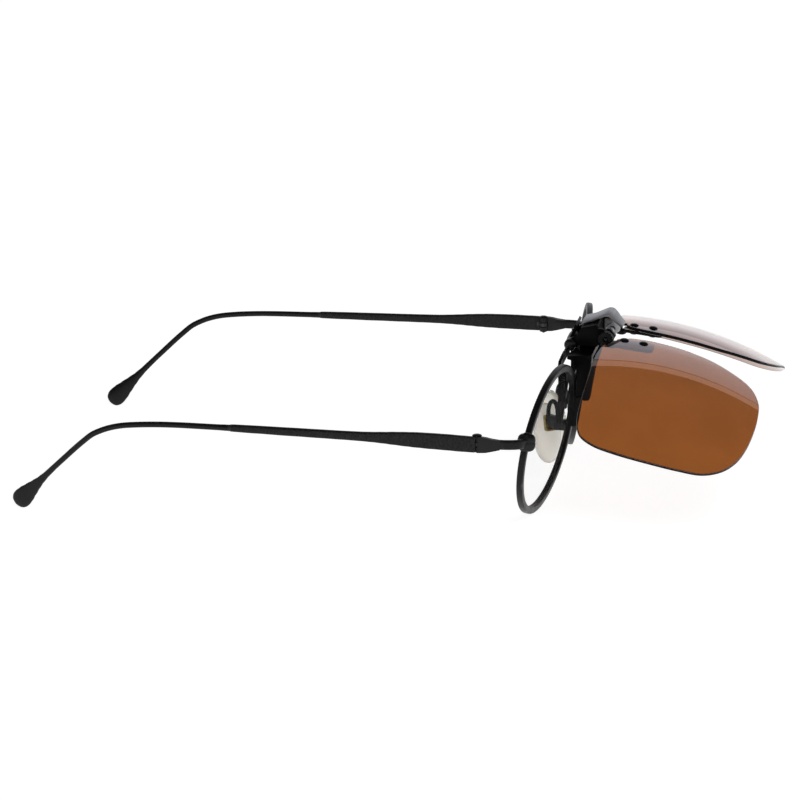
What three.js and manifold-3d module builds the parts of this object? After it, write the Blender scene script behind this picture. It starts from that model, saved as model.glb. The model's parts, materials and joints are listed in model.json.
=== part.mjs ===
// Wire-rim spectacles with a spring-clamped, flip-up pair of clip-on sun lenses.
// Millimetres, +Z up. The front of the spectacles faces -Y and the temples run to +Y,
// so the wearer's right side is at -X. The clip-on is shown with its lenses flipped up.
import * as THREE from 'three';
import { mergeVertices } from 'three/addons/utils/BufferGeometryUtils.js';
import Module from 'manifold-3d';

const wasm = await Module();
wasm.setup();

const DEG = Math.PI / 180;
const RIGHT = -1;
const LEFT = 1;
const GAP = 0.3; // clearance between neighbouring solids

// ---- driving dimensions: spectacles ----
const LENS_WIDTH = 51;
const BRIDGE_WIDTH = 21;
const RIM_HALF_W = 27;
const RIM_HALF_H = 20;
const RIM_WIRE = 2.0; // radial thickness of the rim
const RIM_DEPTH = 1.8;
const RIM_WRAP = 7.1; // degrees, each rim swept back towards its temple
const RIM_TILT = 8.4; // degrees, top of the rims forward
const RIM_CENTRE_X = (LENS_WIDTH + BRIDGE_WIDTH) / 2;
const RIM_CENTRE_Z = 19.83;
const CLEAR_LENS = { radius: 160, thickness: 1.4, forward: 2.1 };
const HINGE = { x: 66.9, y: 14.44, z: 26.33 };
const TEMPLE_X = 68.06; // middle plane of the temple bar at the hinge
const TEMPLE_IN = 2.8; // degrees that each temple converges
const TEMPLE_THICKNESS = 1.4;
const KNUCKLE = { outer: 1.15, bore: 0.85, middle: 0.55 };
const TIP = { reach: 126.9, inset: 6.9, drop: -23.5, radius: 2.7 };

// ---- driving dimensions: clip-on ----
const AXLE = { y: -13.0, z: 41.3, radius: 0.8, half: 9.6 };
const AXLE_TWIST = -2.36; // degrees, the axle sits a little askew, its left end forward
const JAW_PIN = { y: -2.7, z: 39.1, radius: 0.7 };
const LEG_X = 14.0; // middle of each clamping leg
const LEG_WIDTH = 4.4;
const SLEEVE = { width: 4.9, height: 8.5, half_depth: 1.0, pocket: 0.55, tang: 0.25 };
// Middle line of each pair of sleeves: y at the foot, and its change for each mm of height.
const GRIP = {
  front: { foot: 18.1, y: -4.65, slope: -0.17 },
  rear: { foot: 16.9, y: -0.08, slope: -0.15 },
};
const SUN_LENS = { radius: 102.3, thickness: 1.0, half_gap: 6.59, forward: 7.13, drop: 1.18 };
const SUN_WRAP = 16.5; // degrees
const FLIPPED_UP = 75.3; // degrees between the hanging lens and the one shown
const SUN_CENTRE = { across: 31, down: 20.4 }; // where the lens surface is foremost
const RIVETS = { across: 4.0, down: 3.9, pitch: 5.3 };
const CARRIER_TILT = 4; // degrees, the plates drop outwards from the lens surface

// ---- materials ----
function paint(color, roughness, metalness, opacity = 1) {
  const transparent = opacity < 1;
  return new THREE.MeshStandardMaterial({ color, roughness, metalness, opacity, transparent });
}
const black_metal = () => paint(0x1b1b1c, 0.5, 0.6);
const dark_steel = () => paint(0x2e2e30, 0.4, 0.9);
const rubber = () => paint(0x141414, 0.9, 0);
const brass = () => paint(0x6b5c2c, 0.4, 0.9);
const soft_pad = () => paint(0xd7d4c8, 0.4, 0, 0.7);
const clear_plastic = () => paint(0xf4f6f6, 0.05, 0, 0.15);
const brown_tint = () => paint(0x8a4e28, 0.08, 0, 0.8);

// ---- small tools ----
const v2 = (x, y) => new THREE.Vector2(x, y);
const v3 = (x, y, z) => new THREE.Vector3(x, y, z);

function polygon(points) {
  return new THREE.Shape(points.map(([x, y]) => v2(x, y)));
}

function roundedRect(width, height, radius) {
  const [w, h, r] = [width / 2, height / 2, radius];
  const shape = new THREE.Shape();
  shape.moveTo(-w + r, -h);
  shape.lineTo(w - r, -h);
  shape.absarc(w - r, -h + r, r, -Math.PI / 2, 0);
  shape.lineTo(w, h - r);
  shape.absarc(w - r, h - r, r, 0, Math.PI / 2);
  shape.lineTo(-w + r, h);
  shape.absarc(-w + r, h - r, r, Math.PI / 2, Math.PI);
  shape.lineTo(-w, -h + r);
  shape.absarc(-w + r, -h + r, r, Math.PI, 1.5 * Math.PI);
  return shape;
}

// A slab of the shape, centred on its own XY plane; depth counts the bevels.
function slab(shape, depth, bevel = 0, curveSegments = 6) {
  const geometry = new THREE.ExtrudeGeometry(shape, {
    depth: depth - 2 * bevel,
    bevelEnabled: bevel > 0,
    bevelSize: bevel,
    bevelThickness: bevel,
    bevelOffset: -bevel,
    bevelSegments: 1,
    curveSegments,
  });
  return geometry.translate(0, 0, bevel - depth / 2);
}

// A side view drawn in (y, z), extruded along X between two planes.
function sideSlab(shape, x0, x1, bevel = 0, curveSegments = 6) {
  const geometry = slab(shape, Math.abs(x1 - x0), bevel, curveSegments);
  const turn = new THREE.Matrix4().makeBasis(v3(0, 1, 0), v3(0, 0, 1), v3(1, 0, 0));
  return geometry.applyMatrix4(turn).translate((x0 + x1) / 2, 0, 0);
}

function rodAlongX(radius, x0, x1, y, z, sides = 12) {
  const geometry = new THREE.CylinderGeometry(radius, radius, Math.abs(x1 - x0), sides);
  return geometry.rotateZ(Math.PI / 2).translate((x0 + x1) / 2, y, z);
}

function rodAlongZ(radius, z0, z1, x, y, sides = 12) {
  const geometry = new THREE.CylinderGeometry(radius, radius, z1 - z0, sides);
  return geometry.rotateX(Math.PI / 2).translate(x, y, (z0 + z1) / 2);
}

// A rod or strip of constant section along a smooth curve.
function sweep(points, shape, steps, curveSegments = 3) {
  const extrudePath = new THREE.CatmullRomCurve3(points.map((p) => v3(...p)), false, 'centripetal');
  return new THREE.ExtrudeGeometry(shape, { steps, extrudePath, curveSegments });
}

function disc(radius) {
  const shape = new THREE.Shape();
  shape.absarc(0, 0, radius, 0, 2 * Math.PI);
  return shape;
}

function ellipse(halfWidth, halfHeight) {
  const shape = new THREE.Shape();
  shape.absellipse(0, 0, halfWidth, halfHeight, 0, 2 * Math.PI);
  return shape;
}

// ---- joining and cutting with manifold ----
function toSolid(geometry) {
  const bare = geometry.index ? geometry.toNonIndexed() : geometry.clone();
  bare.deleteAttribute('normal');
  bare.deleteAttribute('uv');
  const merged = mergeVertices(bare, 1e-4);
  const triVerts = new Uint32Array(merged.index.array);
  const vertProperties = new Float32Array(merged.attributes.position.array);
  return new wasm.Manifold(new wasm.Mesh({ numProp: 3, vertProperties, triVerts }));
}

function toGeometry(solid) {
  const mesh = solid.getMesh();
  const geometry = new THREE.BufferGeometry();
  geometry.setAttribute('position', new THREE.BufferAttribute(mesh.vertProperties, 3));
  geometry.setIndex(new THREE.BufferAttribute(mesh.triVerts, 1));
  geometry.computeVertexNormals();
  return geometry;
}

function join(...geometries) {
  return toGeometry(geometries.map(toSolid).reduce((a, b) => a.add(b)));
}

function cut(geometry, ...tools) {
  return toGeometry(tools.map(toSolid).reduce((a, b) => a.subtract(b), toSolid(geometry)));
}

function common(a, b) {
  return toGeometry(toSolid(a).intersect(toSolid(b)));
}

const frame = new THREE.Group();
function add(name, geometry, material, parent = frame) {
  const mesh = new THREE.Mesh(geometry, material);
  mesh.name = name;
  parent.add(mesh);
  return mesh;
}

// A dished lens blank: a spherical shell round +Z, its foremost point at the origin.
function lensBlank(radius, thickness, reach, sides, rings) {
  const limit = Math.asin(reach / radius);
  const arc = (r, i) => v2(r * Math.sin((limit * i) / rings), r * Math.cos((limit * i) / rings));
  const steps = [...Array(rings + 1).keys()];
  const inner = steps.map((i) => arc(radius - thickness, i));
  const outer = steps.map((i) => arc(radius, i)).reverse();
  inner[0].x = 0;
  outer[rings].x = 0;
  const geometry = new THREE.LatheGeometry([...inner, ...outer], sides);
  return geometry.rotateX(Math.PI / 2).translate(0, 0, -radius);
}

// ---- rims, bridge and clear lenses ----
const RIM_SEGMENTS = 22;
function rimGroup(side) {
  const group = new THREE.Group();
  group.position.set(side * RIM_CENTRE_X, 0, RIM_CENTRE_Z);
  group.rotation.set(RIM_TILT * DEG, 0, side * RIM_WRAP * DEG, 'ZYX');
  frame.add(group);
  group.updateMatrix();
  return group;
}
const upright = (geometry) => geometry.rotateX(Math.PI / 2);

function rimRing() {
  const shape = ellipse(RIM_HALF_W, RIM_HALF_H);
  const hole = new THREE.Path();
  hole.absellipse(0, 0, RIM_HALF_W - RIM_WIRE, RIM_HALF_H - RIM_WIRE, 0, 2 * Math.PI);
  shape.holes.push(hole);
  return upright(slab(shape, RIM_DEPTH, 0.35, RIM_SEGMENTS));
}

// The space that a rim and its lens fill, with clearance, used to trim what meets a rim.
function rimEnvelope(group) {
  const shape = ellipse(RIM_HALF_W + GAP, RIM_HALF_H + GAP);
  return upright(slab(shape, RIM_DEPTH + 2 * GAP, 0, RIM_SEGMENTS)).applyMatrix4(group.matrix);
}

function clearLens() {
  const margin = RIM_WIRE + GAP;
  const outline = slab(ellipse(RIM_HALF_W - margin, RIM_HALF_H - margin), 20, 0, RIM_SEGMENTS);
  const blank = lensBlank(CLEAR_LENS.radius, CLEAR_LENS.thickness, RIM_HALF_W + 1, 24, 4);
  return upright(common(blank, outline)).translate(0, -CLEAR_LENS.forward, 0);
}

const rims = {};
for (const [word, side] of [['right', RIGHT], ['left', LEFT]]) {
  rims[side] = rimGroup(side);
  add(`${word}_rim`, rimRing(), black_metal(), rims[side]);
  add(`${word}_clear_lens`, clearLens(), clear_plastic(), rims[side]);
}
const rimSpaces = [rimEnvelope(rims[RIGHT]), rimEnvelope(rims[LEFT])];

const bridgeRoute = [[-11.2, -4.1, 27.0], [-8.5, -4.3, 28.6], [-4.5, -4.4, 29.7], [0, -4.4, 30],
  [4.5, -4.4, 29.7], [8.5, -4.3, 28.6], [11.2, -4.1, 27.0]];
add('bridge', cut(sweep(bridgeRoute, roundedRect(1.7, 2.2, 0.5), 18, 1), ...rimSpaces), black_metal());

// ---- end pieces, hinges and temples ----
const knuckleLow = HINGE.z - KNUCKLE.middle;
const knuckleHigh = HINGE.z + KNUCKLE.middle;
const earLow = HINGE.z - KNUCKLE.middle - GAP;
const earHigh = HINGE.z + KNUCKLE.middle + GAP;
const hingeBottom = HINGE.z - 2.1;
const hingeTop = HINGE.z + 2.1;
const hingeRod = (side, radius, z0, z1) => rodAlongZ(radius, z0, z1, side * HINGE.x, HINGE.y);

function endpiece(side) {
  const boss = slab(roundedRect(3.0, 4.4, 0.9), 5.0, 0.3, 2).translate(side * 62.9, 2.0, 26.1);
  const route = [[62.9, 2.2, 26.0], [64.8, 2.5, 26.2], [66.8, 3.8, 26.4], [67.6, 6.2, 26.45],
    [67.7, 10.2, 26.45]];
  const arm = sweep(route.map(([x, y, z]) => [side * x, y, z]), roundedRect(1.5, 2.6, 0.4), 12, 1);
  const lugShape = polygon([[8.8, 25.15], [11.6, 24.4], [14.14, hingeBottom], [14.14, hingeTop],
    [11.6, 28.1], [8.8, 27.6]]);
  const lug = sideSlab(lugShape, side * 67.0, side * 68.7, 0.25);
  const ears = [hingeRod(side, KNUCKLE.outer, hingeBottom, earLow),
    hingeRod(side, KNUCKLE.outer, earHigh, hingeTop)];
  const swing = hingeRod(side, KNUCKLE.outer + GAP, earLow, earHigh);
  const bore = hingeRod(side, KNUCKLE.bore, hingeBottom - 1, hingeTop + 1);
  return cut(join(boss, arm, lug, ...ears), swing, bore, ...rimSpaces);
}

function lockScrew(side) {
  return rodAlongZ(1.3, 28.9, 29.6, side * 62.9, 2.0);
}

function hingeScrew(side) {
  const shank = hingeRod(side, 0.5, hingeBottom - 0.5, hingeTop + 0.4);
  const profile = [v2(0, 0), v2(1.3, 0), v2(1.2, 0.25), v2(0.7, 0.45), v2(0, 0.5)];
  const dome = new THREE.LatheGeometry(profile, 12).rotateX(Math.PI / 2);
  dome.translate(side * HINGE.x, HINGE.y, hingeTop + GAP);
  return join(shank, dome);
}

// Temple bar: middle height and full height at distances along the bar.
const barStations = [[0.3, 0, 4.2], [8, 0.25, 4.2], [16, 0.45, 4.1], [22, 0.55, 3.6],
  [28, 0.6, 2.8], [34, 0.65, 2.4], [48, 0.8, 2.3], [66.5, 1.05, 2.1]];
const BAR_END = 66.5;

function templeGroup(side) {
  const group = new THREE.Group();
  group.position.set(side * TEMPLE_X, HINGE.y, HINGE.z);
  group.rotation.z = side * TEMPLE_IN * DEG;
  frame.add(group);
  group.updateMatrix();
  return group;
}

function templeBar(side, group) {
  const top = barStations.map(([y, z, h]) => v2(y, z + h / 2));
  const bottom = barStations.map(([y, z, h]) => v2(y, z - h / 2)).reverse();
  const outline = new THREE.Shape();
  outline.moveTo(top[0].x, top[0].y);
  outline.splineThru(top.slice(1));
  outline.lineTo(bottom[0].x, bottom[0].y);
  outline.splineThru(bottom.slice(1));
  outline.closePath();
  const half = TEMPLE_THICKNESS / 2;
  const bar = sideSlab(outline, -half, half, 0.3, 3).applyMatrix4(group.matrix);
  const knuckle = hingeRod(side, KNUCKLE.outer, knuckleLow, knuckleHigh);
  const block = new THREE.BoxGeometry(1.5, 1.6, 2 * KNUCKLE.middle);
  block.translate(side * (HINGE.x + 0.5), HINGE.y + 1.2, HINGE.z);
  const clear = KNUCKLE.outer + GAP;
  const below = hingeRod(side, clear, hingeBottom - 1, earLow + GAP);
  const above = hingeRod(side, clear, earHigh - GAP, hingeTop + 1);
  const bore = hingeRod(side, KNUCKLE.bore, knuckleLow - 1, knuckleHigh + 1);
  const shaped = cut(join(bar, knuckle, block), below, above, bore);
  return shaped.applyMatrix4(group.matrix.clone().invert());
}

// The round rear wire bends down behind the ear and inwards, and ends in a flat paddle.
function templeEnd(side) {
  const inward = -side;
  const route = [[0, BAR_END + GAP, 1.05], [0, 80, 1.1], [0, 92, 0.7], [inward * 0.2, 100, -0.6],
    [inward * 0.8, 104.8, -2.9], [inward * 1.9, 110, -7.2], [inward * 3.4, 116.5, -13.3],
    [inward * TIP.inset * 0.8, TIP.reach - 4, TIP.drop + 3.8]];
  const wire = sweep(route, disc(0.78), 26, 4);
  const end = v3(inward * TIP.inset, TIP.reach, TIP.drop);
  const along = end.clone().sub(v3(inward * 3.4, 116.5, -13.3)).normalize();
  const across = v3(1, 0, 0).addScaledVector(along, -along.x).normalize();
  const up = across.clone().cross(along);
  const paddle = new THREE.Shape();
  paddle.moveTo(-12.6, -0.75);
  paddle.bezierCurveTo(-8, -1.0, -4.5, -TIP.radius, 0, -TIP.radius);
  paddle.absarc(0, 0, TIP.radius, -Math.PI / 2, Math.PI / 2);
  paddle.bezierCurveTo(-4.5, TIP.radius, -8, 1.0, -12.6, 0.75);
  paddle.closePath();
  const blade = slab(paddle, 1.7, 0.5, 5);
  const place = new THREE.Matrix4().makeBasis(along, up, along.clone().cross(up)).setPosition(end);
  return join(wire, blade.applyMatrix4(place));
}

for (const [word, side] of [['right', RIGHT], ['left', LEFT]]) {
  const group = templeGroup(side);
  add(`${word}_endpiece`, endpiece(side), black_metal());
  add(`${word}_rim_lock_screw`, lockScrew(side), dark_steel());
  add(`${word}_hinge_screw`, hingeScrew(side), dark_steel());
  add(`${word}_temple`, templeBar(side, group), black_metal(), group);
  add(`${word}_temple_tip`, templeEnd(side), black_metal(), group);
}

// ---- nose pads ----
const PAD_CENTRE = { x: 8.3, y: 3.6, z: 13.9 };
function padBasis(side) {
  const face = v3(-side * 0.82, 0.54, -0.2).normalize();
  const along = v3(0, 0, 1).addScaledVector(face, -face.z).normalize();
  return new THREE.Matrix4().makeBasis(along.clone().cross(face), along, face);
}
const PAD_BACK = -1.3;
const BOX_UP = 2.9;

function padArm(side) {
  const route = [[10.2, -1.4, 17.3], [10.0, 0.0, 18.0], [9.7, 0.5, 20.6], [9.6, 1.0, 22.6],
    [9.5, 1.8, 23.3], [9.5, 2.6, 22.5], [9.6, 3.0, 20.4], [9.9, 2.9, 18.0], [10.2, 2.9, 16.4]];
  const wire = sweep(route.map(([x, y, z]) => [side * x, y, z]), disc(0.6), 24, 2);
  const eye = slab(roundedRect(1.5, 2.4, 0.4), 3.2, 0.2, 2).translate(side * 10.1, 1.5, 17.8);
  const foot = slab(roundedRect(1.5, 2.4, 0.4), 3.0, 0.2, 2).translate(side * 10.2, -1.0, 16.9);
  return cut(join(wire, foot, eye), ...rimSpaces);
}

for (const [word, side] of [['right', RIGHT], ['left', LEFT]]) {
  const mount = new THREE.Group();
  mount.applyMatrix4(padBasis(side).setPosition(side * PAD_CENTRE.x, PAD_CENTRE.y, PAD_CENTRE.z));
  frame.add(mount);
  const pad = slab(ellipse(4.1, 8.4), 2.2, 0.7, 8);
  add(`${word}_nose_pad`, pad, soft_pad(), mount);
  const box = slab(roundedRect(2.8, 4.6, 0.5), 1.3, 0.2, 2).translate(0, BOX_UP, PAD_BACK - 0.75);
  add(`${word}_pad_box`, box, brass(), mount);
  mount.updateMatrix();
  const boxSpace = slab(roundedRect(3.4, 5.2, 0.5), 1.9, 0, 2).translate(0, BOX_UP, PAD_BACK - 0.75);
  boxSpace.applyMatrix4(mount.matrix);
  add(`${word}_pad_arm`, cut(padArm(side), boxSpace), black_metal());
}

// ---- clip-on: hinge block, front jaw, rear jaw ----
// Side views are drawn in (y, z).
const AXLE_TURN = new THREE.Matrix4().makeTranslation(0, AXLE.y, 0)
  .multiply(new THREE.Matrix4().makeRotationZ(AXLE_TWIST * DEG))
  .multiply(new THREE.Matrix4().makeTranslation(0, -AXLE.y, 0));
const askew = (geometry) => geometry.applyMatrix4(AXLE_TURN);
const blockShape = polygon([[-3.9, 40.4], [-5.6, 43.9], [-10.2, 44.9], [-10.2, 38.8], [-4.9, 38.8]]);
const earShape = polygon([[-9.6, 43.8], [-11.8, 43.7], [-13.8, 42.7], [-15.0, 41.8], [-15.0, 40.9],
  [-13.6, 39.4], [-12.6, 39.1], [-9.6, 39.1]]);
const EAR = { inner: 6.6, outer: 7.6 };
const SPRING = { radius: 1.45, wire: 0.35, turns: 3.5 };
const FLANGE = 0.95; // half the depth of each leg's folded sides where they meet the sleeve

function hingeBlock() {
  const block = sideSlab(blockShape, -EAR.outer, EAR.outer, 0.3);
  const ears = [RIGHT, LEFT].map((s) => askew(sideSlab(earShape, s * EAR.inner, s * EAR.outer, 0.15)));
  const pinEarShape = polygon([[-1.6, 38.2], [-1.4, 40.1], [-4.2, 41.6], [-5.2, 41.4],
    [-5.2, 38.9], [-3.7, 37.9]]);
  const pinEars = [RIGHT, LEFT].map((s) => sideSlab(pinEarShape, s * 5.6, s * 7.2, 0.15));
  const axleBore = askew(rodAlongX(AXLE.radius + GAP, -20, 20, AXLE.y, AXLE.z));
  const pinBore = rodAlongX(JAW_PIN.radius + GAP, -20, 20, JAW_PIN.y, JAW_PIN.z);
  const springSpace = rodAlongX(SPRING.radius + SPRING.wire + GAP, -2.8, 2.8, JAW_PIN.y, JAW_PIN.z);
  return cut(join(block, ...ears, ...pinEars), axleBore, pinBore, springSpace);
}

// The part of a side view between two heights along a sleeve's middle line.
function gripStrip(grip, low, high, half) {
  const middle = (z) => grip.y + grip.slope * (z - grip.foot);
  return polygon([[middle(high) - half, high], [middle(low) - half, low],
    [middle(low) + half, low], [middle(high) + half, high]]);
}

// Both legs of a jaw: the plate that comes down to the sleeve, and the tang inside it.
function legs(grip, upper) {
  const top = grip.foot + SLEEVE.height;
  const middle = grip.y + grip.slope * (SLEEVE.height + GAP);
  const plate = polygon([...upper.outer, [middle - FLANGE, top + GAP],
    [middle + FLANGE, top + GAP], ...upper.inner]);
  const tang = gripStrip(grip, grip.foot + 1.1, top + GAP + 0.4, SLEEVE.tang);
  return [RIGHT, LEFT].flatMap((s) => {
    const x = s * LEG_X;
    return [sideSlab(plate, x - LEG_WIDTH / 2, x + LEG_WIDTH / 2, 0.15),
      sideSlab(tang, x - LEG_WIDTH / 2 + 0.5, x + LEG_WIDTH / 2 - 0.5)];
  });
}

function sleeve(side, grip) {
  const x = side * LEG_X;
  const top = grip.foot + SLEEVE.height;
  const outer = gripStrip(grip, grip.foot, top, SLEEVE.half_depth);
  const pocket = gripStrip(grip, grip.foot + 0.8, top + 1, SLEEVE.pocket);
  const half = SLEEVE.width / 2;
  const body = sideSlab(outer, x - half, x + half, 0.3);
  return cut(body, sideSlab(pocket, x - half + 0.45, x + half - 0.45));
}

function frontJaw() {
  const shoulder = polygon([[-4.9, 37.0], [-4.9, 38.4], [-9.6, 38.5], [-9.6, 37.0]]);
  const plate = sideSlab(shoulder, -4.8, 4.8, 0.2);
  const wing = polygon([[-5.3, 36.9], [-5.3, 38.0], [-9.6, 38.3], [-9.6, 36.9]]);
  const wings = sideSlab(wing, -LEG_X - 2.2, LEG_X + 2.2, 0.2);
  const upper = { outer: [[-2.9, 38.0], [-9.6, 38.2], [-9.4, 34.2]],
    inner: [[-5.7, 33.4], [-5.0, 35.0], [-4.6, 36.6], [-2.9, 37.1]] };
  return join(plate, wings, ...legs(GRIP.front, upper));
}

function rearJaw() {
  const lever = polygon([[-3.3, 40.6], [-4.3, 43.8], [-3.7, 44.2], [-2.3, 40.6], [-1.3, 39.7],
    [-1.0, 37.2], [-1.7, 36.6], [-3.5, 37.8], [-4.05, 39.1]]);
  const sheet = polygon([[-1.9, 37.5], [-1.0, 37.5], [-0.5, 36.4], [-0.3, 34.6], [-0.3, 33.9],
    [-1.0, 33.9], [-1.2, 36.2]]);
  const middle = sideSlab(lever, -5.2, 5.2, 0.1);
  const cross = sideSlab(sheet, -LEG_X - 2.2, LEG_X + 2.2, 0.1);
  const upper = { outer: [[-2.0, 38.2], [-1.3, 36.2], [-1.4, 34.6], [-2.7, 33.0], [-2.8, 29.5]],
    inner: [[-0.5, 30.0], [-0.3, 34.6], [-0.5, 36.4], [-1.3, 38.3]] };
  const bore = rodAlongX(JAW_PIN.radius + GAP, -20, 20, JAW_PIN.y, JAW_PIN.z);
  const springWindow = new THREE.BoxGeometry(5.6, 4.6, 4.4).translate(0, JAW_PIN.y, JAW_PIN.z);
  return cut(join(middle, cross, ...legs(GRIP.rear, upper)), bore, springWindow);
}

const clip = new THREE.Group();
frame.add(clip);
add('hinge_block', hingeBlock(), black_metal(), clip);
add('front_jaw', frontJaw(), black_metal(), clip);
add('rear_jaw', rearJaw(), black_metal(), clip);
for (const [word, side] of [['right', RIGHT], ['left', LEFT]]) {
  add(`${word}_front_sleeve`, sleeve(side, GRIP.front), rubber(), clip);
  add(`${word}_rear_sleeve`, sleeve(side, GRIP.rear), rubber(), clip);
}

const pinHead = rodAlongX(1.7, -8.6, -7.5, JAW_PIN.y, JAW_PIN.z);
const pinShank = rodAlongX(JAW_PIN.radius, -7.7, 7.9, JAW_PIN.y, JAW_PIN.z);
add('jaw_pin', join(pinShank, pinHead), dark_steel(), clip);

const TURN_STEPS = 12;
function jawSpring() {
  const points = [];
  for (let i = 0; i <= SPRING.turns * TURN_STEPS; i += 1) {
    const angle = (i / TURN_STEPS) * 2 * Math.PI;
    const y = JAW_PIN.y + SPRING.radius * Math.cos(angle);
    const z = JAW_PIN.z + SPRING.radius * Math.sin(angle);
    points.push([i / TURN_STEPS - SPRING.turns / 2, y, z]);
  }
  return sweep(points, disc(SPRING.wire), SPRING.turns * TURN_STEPS, 2);
}
add('jaw_spring', jawSpring(), dark_steel(), clip);

// The bent leaf over the flip axle: its front slope, which narrows, presses on the cams.
const LEAF_HALF = 4.15;
const leafShape = polygon([[-5.6, 44.3], [-8.4, 44.9], [-12.2, 46.5], [-13.1, 46.4], [-14.7, 44.7],
  [-16.3, 43.2], [-16.75, 43.5], [-15.1, 45.4], [-13.4, 47.2], [-12.0, 47.2], [-8.2, 45.5], [-5.6, 44.9]]);
function detentLeaf() {
  const bent = sideSlab(leafShape, -LEAF_HALF, LEAF_HALF);
  const plan = polygon([[-LEAF_HALF, -5], [-LEAF_HALF, -13.4], [-2.3, -17.4], [2.3, -17.4],
    [LEAF_HALF, -13.4], [LEAF_HALF, -5]]);
  return askew(common(bent, slab(plan, 12).translate(0, 0, 45)));
}
add('detent_leaf', detentLeaf(), dark_steel(), clip);

// ---- clip-on: flip axle, cams, carriers, sun lenses ----
// Drawn hanging straight down below the axle, then turned up to the position shown.
const flip = new THREE.Group();
flip.position.set(0, AXLE.y, AXLE.z);
flip.rotation.set(-FLIPPED_UP * DEG, 0, AXLE_TWIST * DEG, 'ZYX');
clip.add(flip);
add('flip_axle', rodAlongX(AXLE.radius, -AXLE.half, AXLE.half, 0, 0), dark_steel(), flip);

const CAM = { inner: 3, outer: 5, across: 3.2, turn: 38 };
function cam(side) {
  const square = sideSlab(roundedRect(CAM.across, CAM.across, 0.4), side * CAM.inner, side * CAM.outer);
  const bore = rodAlongX(AXLE.radius + GAP, -20, 20, 0, 0);
  return cut(square.rotateX(CAM.turn * DEG), bore);
}

const BARREL = { inner: 7.9, outer: 9.7, radius: 2.15, ridges: 9 };

// Smooth outline of a sun lens: across from the nose side, down from the top edge.
const sunOutline = [[5.4, 0.8], [1.6, 3.6], [0, 9], [-0.1, 15], [0.3, 21], [1.6, 28], [4.4, 34],
  [8.7, 40.3], [16.2, 44.3], [24, 45.6], [31, 46], [39.8, 45.7], [46.7, 44.4], [52.3, 41.6], [56.4, 37],
  [58.4, 30.5], [59.5, 22], [59.5, 14], [58.3, 7.4], [55.6, 3.2], [50.5, 1.1], [43, 0.1], [35.9, -0.4],
  [28.6, -0.9], [21.6, -1.4], [15, -1.4], [9.6, -0.7]];

function lensGroup(side) {
  const group = new THREE.Group();
  group.position.set(side * SUN_LENS.half_gap, -SUN_LENS.forward, -SUN_LENS.drop);
  group.rotation.set(90 * DEG, 0, side * SUN_WRAP * DEG, 'ZYX');
  flip.add(group);
  group.updateMatrix();
  return group;
}

// Where the lens surface is, and which way it faces, in the lens's own axes.
function onLens(side, across, down, depth = 0) {
  const x = across - SUN_CENTRE.across;
  const y = down - SUN_CENTRE.down;
  const rise = Math.sqrt(SUN_LENS.radius ** 2 - x * x - y * y);
  const out = v3(side * x, -y, rise).normalize();
  const along = v3(0, 1, 0).addScaledVector(out, -out.y).normalize();
  const place = new THREE.Matrix4().makeBasis(along.clone().cross(out), along, out);
  const point = v3(side * across, -down, rise - SUN_LENS.radius).addScaledVector(out, -depth);
  return place.setPosition(point);
}

// The plates and rivets stand askew to the surface, dropping outwards.
const tilted = (place, side) => place.multiply(new THREE.Matrix4().makeRotationY(side * CARRIER_TILT * DEG));

const rivetPlaces = [0, 1].map((i) => [RIVETS.across, RIVETS.down + i * RIVETS.pitch]);
const rivetHole = () => new THREE.CylinderGeometry(0.9, 0.9, 8, 8).rotateX(Math.PI / 2);

function sunLens(side, group) {
  const curve = new THREE.CatmullRomCurve3(sunOutline.map(([a, b]) => v3(side * a, -b, 0)), true);
  const outline = new THREE.Shape(curve.getPoints(54).slice(0, -1).map((p) => v2(p.x, p.y)));
  const blank = lensBlank(SUN_LENS.radius, SUN_LENS.thickness, 42, 32, 7);
  blank.translate(side * SUN_CENTRE.across, -SUN_CENTRE.down, 0);
  const holes = rivetPlaces.map(([a, b]) => rivetHole().applyMatrix4(tilted(onLens(side, a, b), side)));
  const hub = rodAlongX(BARREL.radius + GAP, side * 7.5, side * 10.1, 0, 0);
  return cut(common(blank, slab(outline, 60)), hub.applyMatrix4(group.matrix.clone().invert()), ...holes);
}

const PLATE = { width: 5.4, length: 11, thickness: 0.9, behind: 0.45 };
function carrier(side, group) {
  const ridge = (i) => BARREL.radius - (i % 2 ? 0.25 : 0);
  const points = [...Array(2 * BARREL.ridges).keys()].map((i) => {
    const angle = (i * Math.PI) / BARREL.ridges;
    return [ridge(i) * Math.cos(angle), ridge(i) * Math.sin(angle)];
  });
  const barrel = sideSlab(polygon(points), side * BARREL.inner, side * BARREL.outer);
  const depth = SUN_LENS.thickness + PLATE.behind + PLATE.thickness / 2;
  const onPlate = (down) => {
    const place = tilted(onLens(side, RIVETS.across, down), side);
    return place.premultiply(group.matrix).multiply(new THREE.Matrix4().makeTranslation(0, 0, -depth));
  };
  const plate = slab(roundedRect(PLATE.width, PLATE.length, 0.8), PLATE.thickness, 0.15, 3);
  plate.applyMatrix4(onPlate(RIVETS.down + RIVETS.pitch / 2));
  const rear = v3(0, 0, 0).applyMatrix4(onPlate(RIVETS.down - 1.5));
  const middle = (side * (BARREL.inner + BARREL.outer)) / 2;
  const route = [[middle, 1.5, -0.6], [middle, 1.5, -2.6], rear.toArray()];
  const lug = sweep(route, roundedRect(1.1, 1.6, 0.3), 6, 2);
  const holes = rivetPlaces.map(([a, b]) => {
    return rivetHole().applyMatrix4(tilted(onLens(side, a, b), side).premultiply(group.matrix));
  });
  const bore = rodAlongX(AXLE.radius + GAP, -20, 20, 0, 0);
  return cut(join(barrel, lug, plate), ...holes, bore);
}

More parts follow.
